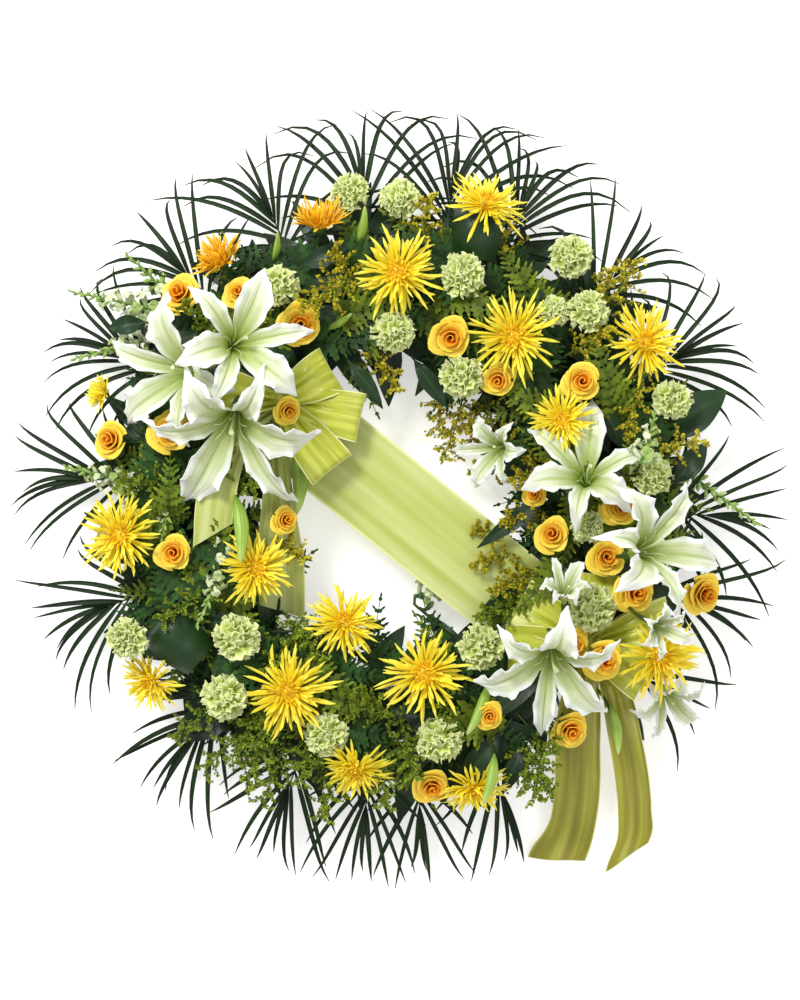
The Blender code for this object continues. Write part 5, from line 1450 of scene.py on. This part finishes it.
class WreathSettings(bpy.types.PropertyGroup):
    """Sizes and colours that a user may change before building."""

    seed: IntProperty(name="Seed", description="Start of the random draws", default=7, min=0)
    filler_count: IntProperty(
        name="Filler Fronds", description="Fern fronds that fill in between the blooms", default=156, min=0)
    leaf_count: IntProperty(
        name="Filler Leaves", description="Dark leaves that fill in between the blooms", default=230, min=0)
    floor_colour: FloatVectorProperty(
        name="Floor Colour", description="Colour of the plain floor", default=(0.84, 0.835, 0.825), size=3,
        subtype="COLOR", min=0.0, max=1.0)
    # The floor glows as painted light, which lifts the wreath's shadows on it to near white.
    floor_glow: FloatProperty(
        name="Floor Glow", description="Light that the floor gives off", default=0.62, min=0)
    camera_height: FloatProperty(
        name="Camera Height", description="How far the camera is above the floor", default=3.1, unit="LENGTH")


def settings():
    return bpy.context.scene.wreath_settings


def drawing(kind, number=0):
    """Random draws for one piece, the same each time."""
    return np.random.default_rng([settings().seed, SEEDS[kind] + number])


def groups(tables, ending, slot):
    """Starts a piece for each node, gives it out with the node's entries, and then finishes it."""
    for number, (name, entries) in enumerate(tables.items()):
        piece = Piece(name + ending)
        points = node_points(name)
        yield name, entries, piece, points, root_of(points), drawing(slot, number)
        piece.finish(slot, name)


def revolve(piece, profile, paint, steps=128):
    """A closed ring from an outline of (radius, height)."""
    turns = np.arange(steps) * math.tau / steps
    profile = np.array(profile)
    rows = profile[None, :, 0] * np.cos(turns)[:, None], profile[None, :, 0] * np.sin(turns)[:, None]
    z = np.broadcast_to(profile[None, :, 1], rows[0].shape)
    count = len(profile)
    grid = np.arange(steps * count).reshape(steps, count)
    after = np.roll(grid, -1, axis=0)
    quads = np.stack((grid, np.roll(grid, -1, axis=1), np.roll(after, -1, axis=1), after), -1).reshape(-1, 4)
    coords = np.stack(np.broadcast_arrays((turns / math.tau)[:, None], np.linspace(0, 1, count)[None]), -1)
    piece.add(np.stack((*rows, z), -1), [quads[:, ::-1]], paint, coords.reshape(-1, 2))


class WREATH_OT_ring(bpy.types.Operator):
    """Builds the foam ring and the tray that holds it."""

    bl_idname = "wreath.ring"
    bl_label = "Foam Ring"

    def execute(self, context):
        inner = FOAM_INNER_R - GAP
        outer = FOAM_OUTER_R + GAP
        lip = TRAY_LIP - 0.0005
        tray = Piece("tray")
        revolve(tray, (
            (inner - TRAY_WALL, 0.0006), (inner - TRAY_WALL + 0.0006, 0.0), (outer + TRAY_WALL - 0.0006, 0.0),
            (outer + TRAY_WALL, 0.0006), (outer + TRAY_WALL, lip), (outer + TRAY_WALL / 2, TRAY_LIP),
            (outer, lip), (outer, TRAY_WALL), (inner, TRAY_WALL), (inner, lip),
            (inner - TRAY_WALL / 2, TRAY_LIP), (inner - TRAY_WALL, lip),
        ), "tray_plastic")
        tray.finish("tray", "base_tray")
        foot = TRAY_WALL + GAP
        foam = Piece("foam")
        revolve(foam, (
            (FOAM_INNER_R, foot), (FOAM_OUTER_R, foot), (FOAM_OUTER_R, FOAM_TOP - FOAM_CHAMFER),
            (FOAM_OUTER_R - 0.0025, FOAM_TOP - 0.0022), (FOAM_OUTER_R - FOAM_CHAMFER, FOAM_TOP),
            (FOAM_INNER_R + FOAM_CHAMFER, FOAM_TOP), (FOAM_INNER_R + 0.0025, FOAM_TOP - 0.0022),
            (FOAM_INNER_R, FOAM_TOP - FOAM_CHAMFER),
        ), "foam_cells")
        foam.finish("foam", "foam_ring")
        return {"FINISHED"}


class WREATH_OT_ribbons(bpy.types.Operator):
    """Builds the satin sash, the two bows and their tails."""

    bl_idname = "wreath.ribbons"
    bl_label = "Satin Ribbons"

    def execute(self, context):
        line, side = sash_line()
        ribbon("sash_satin", line, SASH_WIDTH, side, "sash_satin", nodes=("sash",), rows=90, cols=41,
               wave=0.0009, crown=0.003, held="stretched", rests_on=("foam",))
        bow("upper_bow", UPPER_KNOT, UPPER_LOOPS, "bow_upper")
        bow("lower_bow", LOWER_KNOT, LOWER_LOOPS, "bow_lower")
        laid = {"held": "laid", "wave": 0.001, "skew_from": 0.6}
        tail("upper_streamer", STREAMER, 1.0, "sash_satin", "bow_upper", rows=50, skew=0.30,
             pinch_at=(0, 0.3, 0.5, 0.8, 1), pinch=(0.35, 0.46, 0.66, 1.0, 1.0), **laid)
        tail("upper_short_end", SHORT_END, 0.74, "sash_satin", "bow_upper", skew=-0.72,
             pinch_at=(0, 0.3, 0.6, 1), pinch=(0.35, 0.7, 1.0, 1.0), **laid)
        hung = {"held": "hung", "wave": 0.002, "rows": 60}
        hung.update(pinch_at=(0, 0.1, 0.25, 0.5, 1), pinch=(0.35, 0.6, 0.9, 1.0, 1.0))
        tail("tail_left", TAIL_LEFT, 0.90, "tail_satin", "bow_lower", skew=-0.34, skew_from=0.6,
             flick=0.014, **hung)
        tail("tail_right", TAIL_RIGHT, 0.66, "tail_satin", "bow_lower", skew=-1.30, skew_from=0.66, **hung)
        return {"FINISHED"}


def build_heads(tables, slot, pole_share, depth_share, make):
    """Sets each head on its stem. A node's goldenrod stands in the same hole."""
    for name, heads, piece, points, root, draw in groups(tables, "_blooms", slot):
        for head in heads:
            radius = head[2] * MM
            matrix = seat(points, head, pole_share * radius)
            make(piece, matrix, radius, head, draw)
            add_stem(piece, matrix, depth_share * radius, root)
        for rod in [entry[1:] for entry in GOLDENROD if entry[0] == name]:
            matrix = stalk_seat(points, rod, 0.5)
            goldenrod(piece, matrix, rod[2] * MM * 1.25, draw, rod_skin(*rod[:2]))
            add_stem(piece, matrix, rod[2] * MM * 0.5, root, THIN_STEM_R)


def stalk_seat(points, stalk, lean, extra=0.004):
    """A stalk's own frame. The lower lean is, the flatter it lies."""
    x, y, length, way = stalk
    head = (x, y, 0, (way[0] / lean, way[1] / lean))
    return seat(points, head, length * MM * 0.5 + extra)


class WREATH_OT_lilies(bpy.types.Operator):
    """Builds the lilies, with stamens and stems."""

    bl_idname = "wreath.lilies"
    bl_label = "Lilies"

    def execute(self, context):
        for _, heads, piece, points, root, draw in groups(LILIES, "_blooms", "lily"):
            for head in heads:
                radius = head[2] * MM
                matrix = rolled_seat(points, head, -0.45 * radius, radius)
                lily(piece, matrix, radius * LILY_REACH.get(head[:2], 1.0), draw, SHUT.get(head[:2], 0.0))
                add_stem(piece, matrix, 0.62 * radius, root, LILY_STEM_R)
        return {"FINISHED"}


class WREATH_OT_mums(bpy.types.Operator):
    """Builds the spider mums and the goldenrod that shares their stems."""

    bl_idname = "wreath.mums"
    bl_label = "Spider Mums"

    def execute(self, context):
        def make(piece, matrix, radius, head, draw):
            cupped = head[:2] in CUPPED
            skin = "mum_ray_warm" if cupped and head[0] > -300 else "mum_ray"
            mum(piece, tilted(matrix, MUM_TILT.get(head[:2], 0)), radius, cupped, skin, draw)

        build_heads(MUMS, "mum", 0.86 * 0.36, 0.07, make)
        return {"FINISHED"}


class WREATH_OT_roses(bpy.types.Operator):
    """Builds the roses on their stems."""

    bl_idname = "wreath.roses"
    bl_label = "Roses"

    def execute(self, context):
        def make(piece, matrix, radius, head, draw):
            rose(piece, matrix, radius * 1.13, draw)

        build_heads(ROSES, "rose", 0.58, 0.48, make)
        return {"FINISHED"}


class WREATH_OT_carnations(bpy.types.Operator):
    """Builds the green carnations on their stems."""

    bl_idname = "wreath.carnations"
    bl_label = "Green Carnations"

    def execute(self, context):
        def make(piece, matrix, radius, head, draw):
            carnation(piece, matrix, radius * 1.08, draw)

        build_heads(CARNATIONS, "carnation", 0.70, 0.58, make)
        return {"FINISHED"}


class WREATH_OT_stalks(bpy.types.Operator):
    """Builds the lily buds and the snapdragon spikes."""

    bl_idname = "wreath.stalks"
    bl_label = "Buds and Spikes"

    def execute(self, context):
        for tables, slot, foot, extra in ((BUDS, "bud", BUD_DEPTH, 0.0), (SPIKES, "spike", 0.5, 0.004)):
            for name, stalks, piece, points, root, draw in groups(tables, "_stalks", slot):
                for stalk in stalks:
                    matrix = stalk_seat(points, stalk, 0.35, extra)
                    length = stalk[2] * MM
                    if slot == "bud":
                        matrix.translation.z += BUD_LIFT.get(stalk[:2], 0.0)
                        bud(piece, matrix, length * 1.04, draw)
                    else:
                        spike(piece, matrix, length * 1.10, OPEN_SHARE.get(stalk[:2], 0.6), draw)
                    add_stem(piece, matrix, length * foot, root, STALK_STEM_R)
                if name == "buds_south":
                    self.add_tail_bud(piece, draw)
        return {"FINISHED"}

    def add_tail_bud(self, piece, draw):
        place, way, length, foot = TAIL_BUD
        matrix = local_frame(Vector(place) * MM, Vector((way[0], way[1], 0.25)).normalized())
        bud(piece, matrix, length * MM, draw)
        add_stem(piece, matrix, BUD_DEPTH * length * MM, polar(*foot, 0), STALK_STEM_R)


class WREATH_OT_clumps(bpy.types.Operator):
    """Builds the palms, ferns and broad leaves round the rim and in the hole."""

    bl_idname = "wreath.clumps"
    bl_label = "Palms and Ferns"

    def execute(self, context):
        for name, (palms, ferns), piece, points, root, draw in groups(CLUMPS, "_leaves", "green"):
            for bearing in palms:
                palm(piece, root, bearing, draw)
            stations = INNER_FERN if "inner" in name else OUTER_FERN
            for bearing in ferns:
                fern(piece, rib_line(root, bearing, stations), 0.115, draw)
            for entry in BROAD_LEAVES:
                if entry[0] == name:
                    broad_leaf(piece, entry, points, root, draw)
        return {"FINISHED"}


class WREATH_OT_filler(bpy.types.Operator):
    """Fills in between the blooms with fern fronds, dark leaves and goldenrod."""

    bl_idname = "wreath.filler"
    bl_label = "Filler Greenery"

    def execute(self, context):
        given = settings()
        draw = drawing("filler_ferns")
        spots = filler_spots(given.filler_count, draw) + [plan(x, y) for x, y in MIDDLE_SPOTS]
        for number, name in enumerate(("filler_ferns_a", "filler_ferns_b", "filler_ferns_c")):
            ferns = Piece(name)
            for i, spot in enumerate(spots[number::3]):
                light = (i * GOLDEN_STEP) % 1 < LIGHT_SHARE
                low = draw.uniform(0.012, 0.034) if light else draw.uniform(0.020, 0.050)
                line = filler_line(spot, draw, low)
                if over_bow(line[1:]):
                    continue
                size = sum((b - a).length for a, b in zip(line, line[1:]))
                fern(ferns, line[1:], size * 0.86, draw, "light_fern" if light else "fern_leaf",
                     width=0.24 if light else 0.34)
            ferns.finish("green")
        self.add_leaves(given.leaf_count)
        self.add_rods()
        return {"FINISHED"}

    def add_leaves(self, count):
        """Dark leaves among the blooms and round the rim, and the long ones of LANCE_LEAVES."""
        leaves = Piece("filler_leaves")
        draw = drawing("filler_leaves")
        rim = [polar(RIM_STEP * i, draw.uniform(*RIM_RANGE), 0) for i in range(RIM_LEAVES)]
        rim = [spot for spot in rim if not over_tail([spot], 0.05)]
        middle = [plan(x, y) for x, y in MIDDLE_SPOTS[:8] + BESIDE_SASH]
        for spot in filler_spots(count, draw, 0.378) + rim + middle:
            line = filler_line(spot, draw, draw.uniform(0.045, 0.075), 0.075)
            line[-1].z = max(line[-1].z, 0.040)
            width = draw.uniform(0.026, 0.042)
            leaf(leaves, line[1:], width, draw)
            leaves.tube(along_path(line[:2], 3), THIN_STEM_R, "stem", sides=4)
        for x0, y0, x1, y1, width, height in LANCE_LEAVES:
            start, end = plan(x0, y0, height * MM), plan(x1, y1, (height - 6) * MM)
            foot = start.lerp(end, -0.25)
            foot.z = height * MM - 0.020
            leaf(leaves, [start, start.lerp(end, 0.5) + UP * 0.006, end], width * MM, draw, cols=7, rows=12)
            leaves.tube(along_path([foot, start], 3), 0.0013, "stem", sides=5)
        leaves.finish("green")

    def add_rods(self):
        """Goldenrod low among the blooms, and lowest beside the open middle."""
        rods = Piece("filler_goldenrod")
        draw = drawing("filler_goldenrod")
        for x, y, length, bearing in LOW_GOLDENROD:
            at = plan(x, y)
            turn = math.radians(bearing)
            z = float(mound_height(at.length)) - (0.050 if at.length < 0.165 and y > 20 else 0.020)
            axis = Vector((math.cos(turn) * 0.9, math.sin(turn) * 0.9, 0.55)).normalized()
            centre = Vector((at.x, at.y, z))
            matrix = local_frame(centre, axis)
            goldenrod(rods, matrix, length * MM, draw, rod_skin(x, y), thick=False)
            foot = at.normalized() * min(max(at.length, ROD_RANGE[0]), ROD_RANGE[1])
            rods.tube(along_path([centre - axis * length * MM * 0.5, (foot.x, foot.y, FOAM_TOP + 0.02),
                                  (foot.x, foot.y, FOAM_TOP - 0.008)], 8), 0.0011, "spray_stem")
        rods.finish("mum")


def hole_reach(bearing):
    """How far the wreath's open middle reaches at a bearing in degrees."""
    return np.interp(bearing % 360, HOLE_BEARINGS, HOLE_REACHES)


def filler_line(spot, draw, low, shortest=0.070):
    """A stalk that leaves the foam and ends over a plan spot, under the blooms by low."""
    bearing = math.degrees(math.atan2(spot[1], spot[0]))
    reach = math.hypot(spot[0], spot[1])
    start = min(max(reach, STALK_RANGE[0]), STALK_RANGE[1])
    turn = draw.choice((-1, 1)) * draw.uniform(2, 14)
    gap = math.sqrt(max(shortest ** 2 - (reach - start) ** 2, 0.0))
    turn += math.copysign(math.degrees(gap / start), turn)
    base = polar(bearing + turn, start, FOAM_TOP - 0.006)
    tip = Vector((spot[0], spot[1], float(mound_height(reach)) - low))
    rise = max(0.010, min(tip.z - base.z, 0.040))
    middle = base.lerp(tip, 0.45)
    middle.z = max(base.z + rise, tip.z) + 0.006
    return [base, base + UP * rise, middle, tip]


def filler_spots(count, draw, outer=0.385):
    """Plan places spread evenly over the flowers' ring, clear of its open middle and the tails."""
    spots = []
    for i in range(count):
        bearing = 360 * (i * TURN_STEP % 1) + draw.uniform(-4, 4)
        inner = hole_reach(bearing) * MM
        share = (i * REACH_STEP + draw.uniform(-0.03, 0.03)) % 1
        reach = math.sqrt(inner ** 2 + (outer ** 2 - inner ** 2) * share)
        spot = polar(bearing, reach, 0)
        if not over_tail([spot]):
            spots.append(spot)
    return spots


class WREATH_OT_stage(bpy.types.Operator):
    """Adds the pale floor, the soft lights and the camera that looks down on the wreath."""

    bl_idname = "wreath.stage"
    bl_label = "Studio"

    def execute(self, context):
        given = settings()
        bpy.ops.mesh.primitive_plane_add(size=14.0, location=(0, 0, -0.0005))
        floor = context.object
        floor.name = "floor"
        colour = tuple(given.floor_colour)
        shade = [part * 0.995 for part in colour]
        # The glow is painted light that lifts the wreath's shadows on the floor.
        floor.data.materials.append(grain("Floor", 0.9, 30.0, 2.0, colour, shade, glow=given.floor_glow))
        for light in LIGHTS:
            self.add_light(*light)
        world = bpy.data.worlds.new("studio")
        world.use_nodes = True
        background = world.node_tree.nodes["Background"]
        background.inputs["Color"].default_value = (1.0, 1.0, 1.0, 1)
        background.inputs["Strength"].default_value = SKY_STRENGTH
        context.scene.world = world
        context.scene.view_settings.view_transform = "Standard"
        data = bpy.data.cameras.new("camera")
        data.lens = LENS
        data.sensor_width = SENSOR_WIDTH
        camera = bpy.data.objects.new("camera", data)
        camera.location = (*CAMERA_PLAN, given.camera_height)
        context.scene.collection.objects.link(camera)
        context.scene.camera = camera
        return {"FINISHED"}

    def add_light(self, name, place, size, power):
        data = bpy.data.lights.new(name, "AREA")
        data.size = size
        data.energy = power
        light = bpy.data.objects.new(name, data)
        light.location = place
        light.rotation_mode = "QUATERNION"
        light.rotation_quaternion = (-Vector(place)).to_track_quat("-Z", "Y")
        bpy.context.scene.collection.objects.link(light)


class WREATH_PT_panel(bpy.types.Panel):
    """Lists the wreath's settings and the operators that build it."""

    bl_label = "Wreath"
    bl_idname = "WREATH_PT_panel"
    bl_space_type = "VIEW_3D"
    bl_region_type = "UI"
    bl_category = "Wreath"

    def draw(self, context):
        column = self.layout.column()
        for name in WreathSettings.__annotations__:
            column.prop(context.scene.wreath_settings, name)
        for operator in OPERATORS:
            column.operator(operator.bl_idname)


OPERATORS = (
    WREATH_OT_ring, WREATH_OT_ribbons, WREATH_OT_lilies, WREATH_OT_mums, WREATH_OT_roses,
    WREATH_OT_carnations, WREATH_OT_stalks, WREATH_OT_clumps, WREATH_OT_filler, WREATH_OT_stage,
)
CLASSES = (WreathSettings, *OPERATORS, WREATH_PT_panel)


def register():
    for cls in CLASSES:
        bpy.utils.register_class(cls)
    bpy.types.Scene.wreath_settings = PointerProperty(type=WreathSettings)


def unregister():
    del bpy.types.Scene.wreath_settings
    for cls in reversed(CLASSES):
        bpy.utils.unregister_class(cls)


def main():
    register()
    bpy.ops.wreath.ring()
    bpy.ops.wreath.ribbons()
    bpy.ops.wreath.lilies()
    bpy.ops.wreath.mums()
    bpy.ops.wreath.roses()
    bpy.ops.wreath.carnations()
    bpy.ops.wreath.stalks()
    bpy.ops.wreath.clumps()
    bpy.ops.wreath.filler()
    bpy.ops.wreath.stage()


if __name__ == "__main__":
    main()
